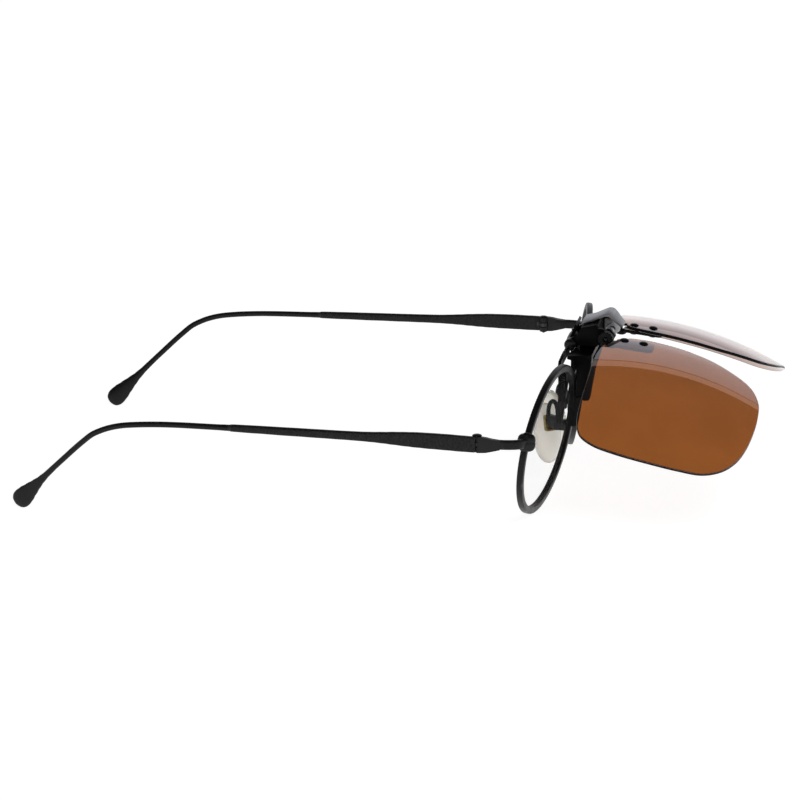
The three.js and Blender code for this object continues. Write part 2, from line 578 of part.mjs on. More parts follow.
// Domed head, shank through lens and plate, and the clenched end behind.
function rivet() {
  const back = -(SUN_LENS.thickness + PLATE.behind + PLATE.thickness + GAP);
  const profile = [[0, back - 0.5], [1.0, back - 0.5], [1.15, back - 0.1], [1.15, back], [0.6, back],
    [0.6, GAP], [1.25, GAP], [1.15, 0.5], [0.8, 0.68], [0, 0.75]];
  return new THREE.LatheGeometry(profile.map(([r, z]) => v2(r, z)), 8).rotateX(Math.PI / 2);
}

for (const [word, side] of [['right', RIGHT], ['left', LEFT]]) {
  const group = lensGroup(side);
  add(`${word}_cam`, cam(side), dark_steel(), flip);
  add(`${word}_lens_carrier`, carrier(side, group), dark_steel(), flip);
  add(`${word}_sun_lens`, sunLens(side, group), brown_tint(), group);
  rivetPlaces.forEach(([a, b], i) => {
    const mesh = add(`${word}_rivet_${i + 1}`, rivet(), dark_steel(), group);
    mesh.applyMatrix4(tilted(onLens(side, a, b), side));
  });
}

// ---- stand the whole on z = 0, centred in plan ----
const bounds = new THREE.Box3().setFromObject(frame, true);
const middle = bounds.getCenter(v3(0, 0, 0));
frame.position.set(-middle.x, -middle.y, -bounds.min.z);

export default frame;
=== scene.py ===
"""Looks for the spectacles with the flip-up clip-on. Blender 4.5, metres, in the CAD model's frame.

Shapes are written in millimetres from a point midway between the rim centres, on the table:
-Y is the front, +X the wearer's left. design() turns them into the CAD frame's metres.
"""
import json
import math

import bpy
import bmesh
from mathutils import Matrix, Vector


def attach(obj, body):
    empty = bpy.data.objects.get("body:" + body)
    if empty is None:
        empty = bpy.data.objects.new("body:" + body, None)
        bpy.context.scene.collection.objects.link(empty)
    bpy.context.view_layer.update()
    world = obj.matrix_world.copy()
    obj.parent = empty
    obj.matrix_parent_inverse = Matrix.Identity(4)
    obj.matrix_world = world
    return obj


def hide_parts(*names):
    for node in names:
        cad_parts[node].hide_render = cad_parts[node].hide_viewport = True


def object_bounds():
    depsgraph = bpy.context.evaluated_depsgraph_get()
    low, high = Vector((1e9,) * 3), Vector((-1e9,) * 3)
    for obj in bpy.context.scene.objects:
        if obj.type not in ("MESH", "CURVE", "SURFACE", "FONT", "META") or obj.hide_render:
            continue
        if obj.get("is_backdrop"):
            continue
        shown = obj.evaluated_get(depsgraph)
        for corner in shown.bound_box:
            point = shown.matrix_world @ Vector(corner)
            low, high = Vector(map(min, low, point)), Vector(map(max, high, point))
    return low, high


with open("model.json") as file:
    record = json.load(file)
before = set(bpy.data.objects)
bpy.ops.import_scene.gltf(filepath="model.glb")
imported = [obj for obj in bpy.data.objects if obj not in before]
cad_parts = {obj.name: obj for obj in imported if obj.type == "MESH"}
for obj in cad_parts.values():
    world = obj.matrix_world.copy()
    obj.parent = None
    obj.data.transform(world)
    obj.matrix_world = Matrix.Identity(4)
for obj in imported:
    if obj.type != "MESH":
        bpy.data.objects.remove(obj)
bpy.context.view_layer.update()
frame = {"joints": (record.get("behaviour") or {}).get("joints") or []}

MM = 0.001
RIGHT, LEFT = -1, 1
SIDES = (("right", RIGHT), ("left", LEFT))
UP = Vector((0, 0, 1))

joints = {j["name"]: j for j in frame["joints"]}
AXLE_HEIGHT = 41.3
AXLE_FORWARD = 13.0
ORIGIN = Vector(joints["lens_flip"]["pos_m"]) / MM - Vector((0, -AXLE_FORWARD, AXLE_HEIGHT))


def design(point):
    """A point in the shapes' own millimetres, as a point of the CAD frame in metres."""
    return (Vector(point) + ORIGIN) * MM


AXLE, PIN, HINGE = (Vector(joints[name]["pos_m"]) / MM - ORIGIN
                    for name in ("lens_flip", "jaw_squeeze", "left_temple_fold"))


def axes(x, y, z):
    """The turn that carries the axes onto these three."""
    return Matrix((x, y, z)).transposed().to_4x4()


# ---- camera: the first thing made ----
CAMERA = {"azimuth": -80.435, "elevation": 14.737, "roll": -0.308, "distance": 1.104137, "lens": 177.593}
LOOK_AT = (0, 46.108, 19.491)


def make_camera():
    a, e, roll = (math.radians(CAMERA[k]) for k in ("azimuth", "elevation", "roll"))
    back = Vector((math.sin(a) * math.cos(e), -math.cos(a) * math.cos(e), math.sin(e)))
    right = Vector((math.cos(a), math.sin(a), 0))
    up = back.cross(right)
    across = right * math.cos(roll) + up * math.sin(roll)
    upward = up * math.cos(roll) - right * math.sin(roll)
    data = bpy.data.cameras.new("camera")
    data.sensor_width = 36
    data.lens = CAMERA["lens"]
    data.clip_start = 0.05
    data.clip_end = 60
    camera = bpy.data.objects.new("camera", data)
    place = Matrix.Translation(design(LOOK_AT) + back * CAMERA["distance"])
    camera.matrix_world = place @ axes(across, upward, back)
    bpy.context.scene.collection.objects.link(camera)
    bpy.context.scene.camera = camera


make_camera()


# ---- shapes: a shape is (points, faces) ----
def loft(rings, closed=False):
    """Joins rings of equally many points. closed joins the last ring to the first."""
    count = len(rings[0])
    points = [Vector(p) for ring in rings for p in ring]
    faces = []
    for i in range(len(rings) if closed else len(rings) - 1):
        a, b = i * count, ((i + 1) % len(rings)) * count
        for j in range(count):
            k = (j + 1) % count
            faces.append((a + j, a + k, b + k, b + j))
    if not closed:
        faces.append(tuple(reversed(range(count))))
        faces.append(tuple(range((len(rings) - 1) * count, len(rings) * count)))
    return points, faces


def moved(shape, matrix):
    return [matrix @ p for p in shape[0]], shape[1]


def on_side(shape, side, drawn=LEFT):
    """A shape drawn on one side, mirrored when the other side is asked for."""
    if side == drawn:
        return shape
    return [Vector((-p.x, p.y, p.z)) for p in shape[0]], [tuple(reversed(f)) for f in shape[1]]


def around(count, start=0.0):
    """Angles once round, the first one start steps on."""
    return [2 * math.pi * (i + start) / count for i in range(count)]


def oval(half_a, half_b, power=2.0, count=24):
    """A superellipse round the origin: power 2 is an ellipse and 6 nearly a rectangle."""
    ring = []
    for t in around(count, 0.5):
        c, s = math.cos(t), math.sin(t)
        a = math.copysign(abs(c) ** (2 / power), c)
        b = math.copysign(abs(s) ** (2 / power), s)
        ring.append((half_a * a, half_b * b))
    return ring


def pile(place, half_a, half_b, power, count, levels):
    """Ovals piled up from a place: each level gives a height and a share of the full size."""
    x, y, z = place
    ring = oval(half_a, half_b, power, count)
    return loft([[(x + a * share, y + b * share, z + height) for a, b in ring] for height, share in levels])


def box(low, high):
    """A box between two corners."""
    (x0, y0, z0), (x1, y1, z1) = low, high
    return loft([[(x0, y0, z), (x1, y0, z), (x1, y1, z), (x0, y1, z)] for z in (z0, z1)])


def smooth_line(points, steps, closed=False):
    """A centripetal Catmull-Rom curve through the points, with steps stretches between neighbours."""
    points = [Vector(p) for p in points]
    count = len(points)
    line = []
    for i in range(count if closed else count - 1):
        p1, p2 = points[i], points[(i + 1) % count]
        p0 = points[i - 1] if closed or i else p1 * 2 - p2
        p3 = points[(i + 2) % count] if closed or i + 2 < count else p2 * 2 - p1
        near, knots = [p0, p1, p2, p3], [0.0]
        for a, b in zip(near, near[1:]):
            knots.append(knots[-1] + math.sqrt((b - a).length))
        for j in range(steps):
            k = knots[1] + (knots[2] - knots[1]) * j / steps
            row = near
            for spans in (((0, 1), (1, 2), (2, 3)), ((0, 2), (1, 3)), ((1, 2),)):
                ends = [(knots[a], knots[b]) for a, b in spans]
                row = [p * ((high - k) / (high - low)) + q * ((k - low) / (high - low))
                       for p, q, (low, high) in zip(row, row[1:], ends)]
            line.append(row[0])
    if not closed:
        line.append(points[-1])
    return line


def sweep(line, section, side_axis=(1, 0, 0)):
    """Carries a section along a line. section(share) gives the ring at that share of the length:
    its first number runs along side_axis and its second square to that and to the line."""
    lengths = [0.0]
    for a, b in zip(line, line[1:]):
        lengths.append(lengths[-1] + (b - a).length)
    rings = []
    for i, p in enumerate(line):
        ahead = (line[min(i + 1, len(line) - 1)] - line[max(i - 1, 0)]).normalized()
        across = (Vector(side_axis) - ahead * ahead.dot(Vector(side_axis))).normalized()
        over = ahead.cross(across)
        rings.append([p + across * u + over * v for u, v in section(lengths[i] / lengths[-1])])
    return loft(rings)


def prism(outline, x0, x1):
    """A side view drawn as (y, z) points, between two planes of x."""
    low, high = min(x0, x1), max(x0, x1)
    return loft([[(low, y, z) for y, z in outline], [(high, y, z) for y, z in outline]])


def lathe(profile, matrix=None, count=32, closed=False):
    """Turns a profile of (radius, height) points round the z axis. closed joins its ends: a tube."""
    matrix = matrix or Matrix.Identity(4)
    points, faces = loft([[matrix @ Vector((r * math.cos(t), r * math.sin(t), z)) for r, z in profile]
                          for t in around(count)], closed=True)
    if closed:
        return points, faces
    width = len(profile)
    faces = [f for f in faces if not (f[0] % width == width - 1 and f[1] % width == 0)]
    faces.append(tuple(i * width for i in reversed(range(count))))
    faces.append(tuple(i * width + width - 1 for i in range(count)))
    return points, faces


def along_x(x, y, z):
    """Places a turned shape with its axis along x."""
    return Matrix.Translation((x, y, z)) @ Matrix.Rotation(math.pi / 2, 4, "Y")


def rod(radius, length, edge=0.01):
    """Profile of a rod from z 0 to its length."""
    return [(radius - edge, 0), (radius, edge), (radius, length - edge), (radius - edge, length)]


def tube(inner, outer, low, high, edge=0.12):
    """Closed profile of a tube between two heights, with its outer edges broken."""
    return [(inner, low), (outer - edge, low), (outer, low + edge), (outer, high - edge),
            (outer - edge, high), (inner, high)]


# ---- pieces ----
def middle_of(face):
    """A face's middle in the shapes' own millimetres."""
    return Vector(face.center) / MM - ORIGIN


def build_mesh(name, shape):
    mesh = bpy.data.meshes.new(name)
    mesh.from_pydata([design(p) for p in shape[0]], [], shape[1])
    shaped = bmesh.new()
    shaped.from_mesh(mesh)
    bmesh.ops.remove_doubles(shaped, verts=shaped.verts, dist=1e-8)
    bmesh.ops.recalc_face_normals(shaped, faces=shaped.faces)
    shaped.to_mesh(mesh)
    shaped.free()
    return mesh


def settle(thing):
    """Applies a piece's modifiers."""
    bpy.context.view_layer.update()
    evaluated = thing.evaluated_get(bpy.context.evaluated_depsgraph_get())
    mesh = bpy.data.meshes.new_from_object(evaluated)
    thing.modifiers.clear()
    thing.data = mesh


def carve(thing, shape, operation="DIFFERENCE"):
    """Cuts a shape out of a piece, or fuses it on."""
    tool = bpy.data.objects.new("tool", build_mesh("tool", shape))
    bpy.context.scene.collection.objects.link(tool)
    boolean = thing.modifiers.new("boolean", "BOOLEAN")
    boolean.operation = operation
    boolean.solver = "EXACT"
    boolean.object = tool
    settle(thing)
    bpy.data.objects.remove(tool)


def piece(name, shape, body, nodes, material, bevel=0.0, sharp=38, cuts=(), fused=()):
    """One finished piece: fused with and cut by other shapes, edges rounded, shaded, on its body."""
    thing = bpy.data.objects.new(name, build_mesh(name, shape))
    bpy.context.scene.collection.objects.link(thing)
    for more in fused:
        carve(thing, more, "UNION")
    for tool in cuts:
        carve(thing, tool)
    if bevel:
        rounding = thing.modifiers.new("rounding", "BEVEL")
        rounding.width = bevel * MM
        rounding.segments = 3
        rounding.limit_method = "ANGLE"
        rounding.angle_limit = math.radians(28)
        settle(thing)
    thing.data.name = name
    thing.data.shade_smooth()
    thing.data.set_sharp_from_angle(angle=math.radians(sharp))
    thing.data.materials.clear()
    for one in material if isinstance(material, (list, tuple)) else [material]:
        thing.data.materials.append(one)
    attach(thing, body)
    if nodes:
        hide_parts(*nodes)
    return thing


# ---- materials ----
def start_material(name, **sockets):
    """A material with one Principled shader, whose sockets are set directly."""
    material = bpy.data.materials.new(name)
    material.use_nodes = True
    tree = material.node_tree
    shader = next(n for n in tree.nodes if n.type == "BSDF_PRINCIPLED")
    for key, value in sockets.items():
        shader.inputs[key.replace("_", " ")].default_value = value
    return material, tree, shader


def noise(tree, size_mm, detail=3.0, roughness=0.55, shrink_x=1.0):
    """Noise whose lumps are about size_mm across, and longer along x when shrink_x is below 1."""
    place = tree.nodes.new("ShaderNodeTexCoord").outputs["Object"]
    if shrink_x != 1:
        stretch = tree.nodes.new("ShaderNodeMapping")
        stretch.inputs["Scale"].default_value = (shrink_x, 1, 1)
        tree.links.new(place, stretch.inputs["Vector"])
        place = stretch.outputs["Vector"]
    texture = tree.nodes.new("ShaderNodeTexNoise")
    texture.inputs["Scale"].default_value = 1 / (size_mm * MM)
    texture.inputs["Detail"].default_value = detail
    texture.inputs["Roughness"].default_value = roughness
    tree.links.new(place, texture.inputs["Vector"])
    return texture.outputs["Fac"]


def spread(tree, source, low, high, out_low, out_high):
    """Stretches a value from low..high to out_low..out_high."""
    node = tree.nodes.new("ShaderNodeMapRange")
    for end, value in (("From Min", low), ("From Max", high), ("To Min", out_low), ("To Max", out_high)):
        node.inputs[end].default_value = value
    tree.links.new(source, node.inputs["Value"])
    return node.outputs["Result"]


def colours(tree, source, low, high, first, second):
    """A colour that runs from first to second as the value runs from low to high."""
    ramp = tree.nodes.new("ShaderNodeValToRGB")
    for element, position, colour in zip(ramp.color_ramp.elements, (low, high), (first, second)):
        element.position = position
        element.color = (*colour, 1)
    tree.links.new(source, ramp.inputs["Fac"])
    return ramp.outputs["Color"]


def bump(tree, shader, source, height_mm, strength):
    """Relief that follows a value."""
    node = tree.nodes.new("ShaderNodeBump")
    node.inputs["Strength"].default_value = strength
    node.inputs["Distance"].default_value = height_mm * MM
    tree.links.new(source, node.inputs["Height"])
    tree.links.new(node.outputs["Normal"], shader.inputs["Normal"])


def dress(tree, shader, base, roughness):
    """Feeds the shader's base colour and roughness."""
    tree.links.new(base, shader.inputs["Base Color"])
    tree.links.new(roughness, shader.inputs["Roughness"])


def worn(tree, base, edge_colour, end=0.62):
    """Lightens the base colour along sharp edges."""
    geometry = tree.nodes.new("ShaderNodeNewGeometry")
    mix = tree.nodes.new("ShaderNodeMix")
    mix.data_type = "RGBA"
    tree.links.new(spread(tree, geometry.outputs["Pointiness"], 0.53, end, 0, 1), mix.inputs["Factor"])
    tree.links.new(base, mix.inputs["A"])
    mix.inputs["B"].default_value = (*edge_colour, 1)
    return mix.outputs["Result"]


def coated_metal(name, dark, light, grain_mm, gloss, depth_mm, sheen=0.2, rubbed=0.05):
    """Black coating over metal: fine grain, uneven sheen, edges rubbed a little lighter."""
    material, tree, shader = start_material(name, Metallic=0.0, IOR=1.5, Specular_IOR_Level=sheen)
    grain = noise(tree, grain_mm, 4.0)
    clouds = noise(tree, 5.0, 2.0)
    base = colours(tree, grain, 0.35, 0.7, (dark,) * 3, (light, light, light * 1.04))
    both = tree.nodes.new("ShaderNodeMath")
    both.operation = "ADD"
    tree.links.new(spread(tree, grain, 0.3, 0.7, -0.06, 0.06), both.inputs[0])
    tree.links.new(spread(tree, clouds, 0.3, 0.7, gloss - 0.05, gloss + 0.06), both.inputs[1])
    dress(tree, shader, worn(tree, base, (rubbed,) * 3), both.outputs[0])
    bump(tree, shader, grain, depth_mm, 0.6)
    return material


def steel(name, colour, gloss, metal):
    """Satin steel with fine rolling marks along x."""
    material, tree, shader = start_material(name, Metallic=metal, IOR=1.6)
    marks = noise(tree, 0.12, 3.0, 0.5, shrink_x=0.15)
    lighter = tuple(min(1, c * 1.35) for c in colour)
    base = colours(tree, marks, 0.35, 0.7, colour, lighter)
    dress(tree, shader, worn(tree, base, (0.3, 0.3, 0.31), 0.65),
          spread(tree, marks, 0.3, 0.7, gloss - 0.05, gloss + 0.08))
    bump(tree, shader, marks, 0.004, 0.5)
    return material


def mottled(name, size_mm, detail, tones, gloss, relief=None, rubbed=None, **sockets):
    """A material whose colour, roughness and relief follow one noise, by tones, gloss and relief."""
    material, tree, shader = start_material(name, **sockets)
    grain = noise(tree, size_mm, detail)
    base = colours(tree, grain, *tones)
    dress(tree, shader, worn(tree, base, rubbed) if rubbed else base, spread(tree, grain, *gloss))
    if relief:
        bump(tree, shader, grain, *relief)
    return material


def silicone_material():
    """Milky soft pad: light passes through it, blurred."""
    material, tree, shader = start_material("pad_silicone", IOR=1.41, Transmission_Weight=0.6,
                                            Subsurface_Weight=0.25, Subsurface_Scale=0.002)
    haze = noise(tree, 2.5, 2.0)
    base = colours(tree, haze, 0.3, 0.7, (0.93, 0.92, 0.84), (0.98, 0.97, 0.91))
    dress(tree, shader, base, spread(tree, haze, 0.3, 0.7, 0.28, 0.42))
    bump(tree, shader, noise(tree, 0.3, 3.0), 0.01, 0.3)
    return material


def let_lamps_through(tree, shader, tint):
    """Lamps shine through the glass, tinted, so that its shadow isn't black."""
    output = next(n for n in tree.nodes if n.type == "OUTPUT_MATERIAL")
    path = tree.nodes.new("ShaderNodeLightPath")
    clear = tree.nodes.new("ShaderNodeBsdfTransparent")
    clear.inputs["Color"].default_value = (*tint, 1)
    mix = tree.nodes.new("ShaderNodeMixShader")
    tree.links.new(path.outputs["Is Shadow Ray"], mix.inputs["Fac"])
    tree.links.new(shader.outputs["BSDF"], mix.inputs[1])
    tree.links.new(clear.outputs["BSDF"], mix.inputs[2])
    tree.links.new(mix.outputs["Shader"], output.inputs["Surface"])


def brown_material():
    """Tinted, polished plastic, with a faint unevenness in the tint."""
    material, tree, shader = start_material("brown_lens", IOR=1.5, Transmission_Weight=1.0, Coat_Weight=0.45,
                                            Coat_IOR=1.5, Coat_Roughness=0.0,
                                            Specular_Tint=(0.62, 0.82, 1.0, 1.0))
    tint = noise(tree, 14.0, 2.0)
    dress(tree, shader, colours(tree, tint, 0.3, 0.7, (0.262, 0.083, 0.0165), (0.288, 0.091, 0.019)),
          spread(tree, noise(tree, 6.0, 3.0), 0.45, 0.8, 0.0, 0.012))
    let_lamps_through(tree, shader, (0.5, 0.3, 0.17))
    return material


BLACK = coated_metal("black_metal", 0.003, 0.011, 0.35, 0.40, 0.012)
TEMPLE_BLACK = coated_metal("temple_black", 0.002, 0.018, 0.5, 0.42, 0.03)
END_BLACK = coated_metal("end_black", 0.003, 0.011, 0.35, 0.40, 0.012, 0.2, 0.012)
CLIP_BLACK = coated_metal("clip_black", 0.0004, 0.0015, 0.22, 0.36, 0.006, 0.04, 0.004)
DARK_STEEL = steel("dark_steel", (0.135, 0.135, 0.14), 0.33, 0.8)
SCREW_BLACK = coated_metal("screw_black", 0.001, 0.004, 0.2, 0.28, 0.004, 0.25, 0.01)
CARRIER_STEEL = coated_metal("carrier_steel", 0.002, 0.006, 0.2, 0.34, 0.004, 0.12, 0.008)
# Pale steel: bare steel on the axle's stretches, and painted light on the ear plates and the left cam, made
# pale to stand in for light falling on them.
BARE_STEEL_AND_PAINTED_LIGHT = steel("bare_steel_and_painted_light", (0.68, 0.68, 0.7), 0.5, 0.1)
# A pale sheet on each carrier plate's front face: painted light, standing in for light on the plate seen
# through the lens.
PLATE_SHEET_PAINTED_LIGHT = steel("plate_sheet_painted_light", (0.95, 0.9, 0.7), 0.5, 0.0)
RUBBER = mottled("rubber", 0.16, 4.0, (0.3, 0.75, (0.003, 0.003, 0.003), (0.007, 0.007, 0.0072)),
                 (0.3, 0.7, 0.62, 0.8), (0.012, 0.5), (0.008, 0.008, 0.0083),
                 Metallic=0.0, IOR=1.45, Specular_IOR_Level=0.1)
BRASS = mottled("brass", 0.7, 5.0, (0.35, 0.65, (0.10, 0.085, 0.03), (0.36, 0.27, 0.09)),
                (0.3, 0.7, 0.28, 0.5), (0.01, 0.4), Metallic=1.0)
SILICONE = silicone_material()
# Thin polished lenses, nearly invisible, with faint smears.
CLEAR = mottled("clear_plastic", 9.0, 3.0, (0.3, 0.7, (0.03, 0.03, 0.032), (0.06, 0.06, 0.063)),
                (0.4, 0.75, 0.03, 0.08), IOR=1.45, Alpha=0.03, Specular_IOR_Level=0.09)
BROWN = brown_material()
# The cut edge, where the tint is seen through a long way of plastic.
LENS_EDGE = mottled("lens_edge", 0.4, 3.0, (0.3, 0.7, (0.004, 0.003, 0.002), (0.012, 0.007, 0.005)),
                    (0.3, 0.7, 0.25, 0.45), IOR=1.5, Specular_IOR_Level=0.08)


# ---- rims and clear lenses ----
RIM = {"half_width": 27, "half_height": 20, "wire": 2.0, "depth": 1.8, "wrap": 7.1, "tilt": 8.4}
RIM_CENTRE = {"x": 36, "z": 19.83}
GROOVE = {"half_width": 0.45, "depth": 0.35}
CLEAR_LENS = {"radius": 160, "thickness": 1.4, "forward": 2.1, "margin": 1.75, "edge": 0.45}


def rim_place(side):
    turn = Matrix.Rotation(side * math.radians(RIM["wrap"]), 4, "Z")
    tilt = Matrix.Rotation(math.radians(RIM["tilt"]), 4, "X")
    return Matrix.Translation((side * RIM_CENTRE["x"], 0, RIM_CENTRE["z"])) @ turn @ tilt


def rim_section():
    """Across the rim wire: (outward, back) from its middle, with the groove that holds the lens."""
    ring = []
    for out, back in oval(RIM["wire"] / 2, RIM["depth"] / 2, 4.5, 24):
        if out < 0 and abs(back) < GROOVE["half_width"]:
            out += GROOVE["depth"] * (1 - abs(back) / GROOVE["half_width"])
        ring.append((out, back))
    return ring


def rim_shape():
    rings = []
    a, b = RIM["half_width"], RIM["half_height"]
    for t in around(180):
        edge = Vector((a * math.cos(t), 0, b * math.sin(t)))
        out = Vector((b * math.cos(t), 0, a * math.sin(t))).normalized()
        middle = edge - out * RIM["wire"] / 2
        rings.append([middle + out * u + Vector((0, v, 0)) for u, v in rim_section()])
    return loft(rings, closed=True)


def clear_lens_shape():
    a = RIM["half_width"] - CLEAR_LENS["margin"]
    b = RIM["half_height"] - CLEAR_LENS["margin"]
    radius, thickness, edge = CLEAR_LENS["radius"], CLEAR_LENS["thickness"], CLEAR_LENS["edge"]

    def ring(share, behind):
        found = []
        for t in around(120):
            x, z = share * a * math.cos(t), share * b * math.sin(t)
            sag = radius - math.sqrt(radius * radius - x * x - z * z)
            found.append((x, sag + behind - CLEAR_LENS["forward"], z))
        return found

    shares = [0.001] + [i / 12 for i in range(1, 12)] + [0.985]
    front = [ring(s, 0) for s in shares]
    back = [ring(s, thickness) for s in reversed(shares)]
    return loft(front + [ring(1, edge), ring(1, thickness - edge)] + back)


for word, side in SIDES:
    place = rim_place(side)
    piece(f"{word}_rim_wire", moved(rim_shape(), place), "spectacle_frame", [f"{word}_rim"],
          BLACK)
    piece(f"{word}_clear_lens_fine", moved(clear_lens_shape(), place), "spectacle_frame",
          [f"{word}_clear_lens"], CLEAR)

# ---- bridge ----
BRIDGE_ROUTE = [(-11.6, -4.0, 26.6), (-10.4, -4.2, 27.6), (-8.5, -4.3, 28.6), (-4.5, -4.4, 29.7), (0, -4.4, 30),
                (4.5, -4.4, 29.7), (8.5, -4.3, 28.6), (10.4, -4.2, 27.6), (11.6, -4.0, 26.6)]


def bridge_section(share):
    """Oval wire that thickens where it is soldered to the rims."""
    ends = abs(2 * share - 1) ** 6
    return oval(0.85 + 0.25 * ends, 1.05 + 0.45 * ends, 3.0, 24)


piece("bridge_wire", sweep(smooth_line(BRIDGE_ROUTE, 8), bridge_section, (0, 1, 0)), "spectacle_frame",
      ["bridge"], BLACK)

# ---- end pieces and hinge screws ----
BOSS = {"x": 62.9, "y": 1.9, "low": 23.7, "high": 28.3}
KNUCKLE = {"outer": 1.15, "bore": 0.6, "middle": 0.55, "gap": 0.12, "end": 2.1}
LOCK_HEAD = {"radius": 1.15, "height": 0.95, "sunk": 0.5}


def boss_shape():
    """The block that closes the rim: two halves meet at a fine line, screwed together from above."""
    height = BOSS["high"] - BOSS["low"]
    split = height * 0.52
    levels = [(0, 0.5), (0.25, 0.72), (0.7, 0.88), (1.3, 0.98), (split - 0.12, 1.0), (split - 0.05, 0.94),
              (split + 0.05, 0.94), (split + 0.12, 1.0), (height - 1.3, 1.0), (height - 0.7, 0.92),
              (height - 0.25, 0.78), (height, 0.6)]
    return pile((BOSS["x"], BOSS["y"], BOSS["low"]), 1.45, 2.4, 2.4, 32, levels)


LUG = [(8.2, 25.2), (10.4, 24.65), (12.0, 24.3), (14.1, 24.2), (14.1, 28.45), (12.0, 28.25), (10.4, 27.9),
       (8.2, 27.6)]
ARM_ROUTE = [(62.9, 2.2, 26.0), (64.8, 2.5, 26.2), (66.8, 3.8, 26.4), (67.6, 6.2, 26.45), (67.7, 10.4, 26.45)]


def knuckle(side, low, high):
    place = Matrix.Translation((side * HINGE.x, HINGE.y, 0))
    return lathe(tube(KNUCKLE["bore"], KNUCKLE["outer"], low, high), place, closed=True)


def endpiece_shapes():
    middle, gap, end = KNUCKLE["middle"], KNUCKLE["gap"], KNUCKLE["end"]
    arm = sweep(smooth_line(ARM_ROUTE, 6), lambda share: oval(0.75, 1.3, 3.4, 20))
    lug = prism(LUG, HINGE.x + 0.15, HINGE.x + 1.75)
    ears = [knuckle(LEFT, HINGE.z - end, HINGE.z - middle - gap),
            knuckle(LEFT, HINGE.z + middle + gap, HINGE.z + end)]
    return boss_shape(), [arm, lug, *ears]


def screw_head(radius, height):
    """Profile of a low domed head standing on z 0."""
    dome = [(radius * math.cos(t), (0.35 + 0.65 * math.sin(t)) * height) for t in around(24)[:6]]
    return [(radius * 0.97, 0), *dome, (0.04, height)]


def slot_shape(x, y, z, radius, width, depth, turn):
    """The screwdriver slot: a thin box across the head."""
    bar = box((-radius * 1.2, -width / 2, -depth), (radius * 1.2, width / 2, depth * 3))
    return moved(bar, Matrix.Translation((x, y, z)) @ Matrix.Rotation(turn, 4, "Z"))


for word, side in SIDES:
    boss, rest = endpiece_shapes()
    clear_of_eye = KNUCKLE["middle"] + KNUCKLE["gap"]
    swing_tool = lathe(rod(KNUCKLE["outer"] + 0.25, 2 * clear_of_eye),
                       Matrix.Translation((HINGE.x, HINGE.y, HINGE.z - clear_of_eye)))
    piece(f"{word}_endpiece_fine", on_side(boss, side), "spectacle_frame", [f"{word}_endpiece"],
          END_BLACK, bevel=0.12, fused=[on_side(s, side) for s in rest], cuts=[on_side(swing_tool, side)])
    x, y, radius = side * BOSS["x"], BOSS["y"], LOCK_HEAD["radius"]
    seat = BOSS["high"] - LOCK_HEAD["sunk"]
    head = lathe(screw_head(radius, LOCK_HEAD["height"]), Matrix.Translation((x, y, seat)))
    piece(f"{word}_lock_screw_head", head, "spectacle_frame", [f"{word}_rim_lock_screw"],
          SCREW_BLACK, cuts=[slot_shape(x, y, seat + LOCK_HEAD["height"], radius, 0.32, 0.4, 0.5 * side)])
    low, high = HINGE.z - KNUCKLE["end"], HINGE.z + KNUCKLE["end"]
    x, y = side * HINGE.x, HINGE.y
    profile = [(0.1, low - 0.45), (0.42, low - 0.3), (0.42, high), (1.3, high), (1.32, high + 0.12),
               (1.15, high + 0.3), (0.75, high + 0.44), (0.05, high + 0.5)]
    piece(f"{word}_hinge_screw_fine", lathe(profile, Matrix.Translation((x, y, 0))), "spectacle_frame",
          [f"{word}_hinge_screw"], SCREW_BLACK,
          cuts=[slot_shape(x, y, high + 0.5, 1.3, 0.3, 0.25, 0.9 * side)])

# ---- temples ----
TEMPLE = {"x": 68.06, "converge": 2.8, "thickness": 1.4}
# Distance behind the hinge, height of the middle, full height, squareness.
BAR = [(0.25, 0, 4.0, 7), (0.6, 0.02, 4.2, 7), (4, 0.1, 4.25, 7), (8, 0.25, 4.25, 7), (12, 0.35, 4.2, 6.5),
       (16, 0.45, 4.05, 6), (19, 0.5, 3.8, 5.5), (22, 0.55, 3.45, 5), (25, 0.58, 3.05, 4.5),
       (28, 0.6, 2.72, 4), (31, 0.62, 2.5, 3.6), (36, 0.68, 2.38, 3.4), (42, 0.75, 2.32, 3.2),
       (50, 0.85, 2.25, 3.0), (60, 0.98, 2.12, 2.8), (66.0, 1.05, 2.0, 2.6), (66.5, 1.05, 1.85, 2.4)]


# The right temple's place: its bar is drawn straight back.
TEMPLE_PLACE = (Matrix.Translation((-TEMPLE["x"], HINGE.y, HINGE.z))
                @ Matrix.Rotation(-math.radians(TEMPLE["converge"]), 4, "Z"))


def between(rows, y):
    """The row of numbers at distance y: eased between rows far apart, and straight between close ones."""
    for a, b in zip(rows, rows[1:]):
        if y <= b[0]:
            share = (y - a[0]) / (b[0] - a[0])
            share = share * share * (3 - 2 * share) if b[0] - a[0] > 2 else share
            return [p + (q - p) * share for p, q in zip(a, b)]
    return list(rows[-1])


def bar_shape():
    stops = [0.25, 0.35, 0.6] + [1 + 0.75 * i for i in range(87)] + [66.3, 66.5]
    rings = []
    for y in stops:
        _, z, height, power = between(BAR, y)
        half = TEMPLE["thickness"] / 2 - (0.18 if y < 0.3 else 0) + 0.05 * min(1, y / 60)
        rings.append([(u, y, z + v) for u, v in oval(half, height / 2, power, 32)])
    return loft(rings)


TIP_ROUTE = [(0, 66.2, 1.05), (0, 73, 1.08), (0, 80, 1.1), (0, 86, 0.98), (0, 92, 0.62), (0.1, 96.5, 0.1),
             (0.25, 100, -0.75), (0.45, 102.6, -1.75), (0.8, 105.0, -3.0), (1.3, 107.6, -5.1),
             (1.9, 110.2, -7.4), (2.6, 113.2, -10.2), (3.4, 116.5, -13.3), (4.6, 120.5, -17.2),
             (6.0, 124.5, -21.1), (6.9, 127.4, -24.0), (7.35, 128.85, -25.4)]
TIP_LENGTH = 79.5
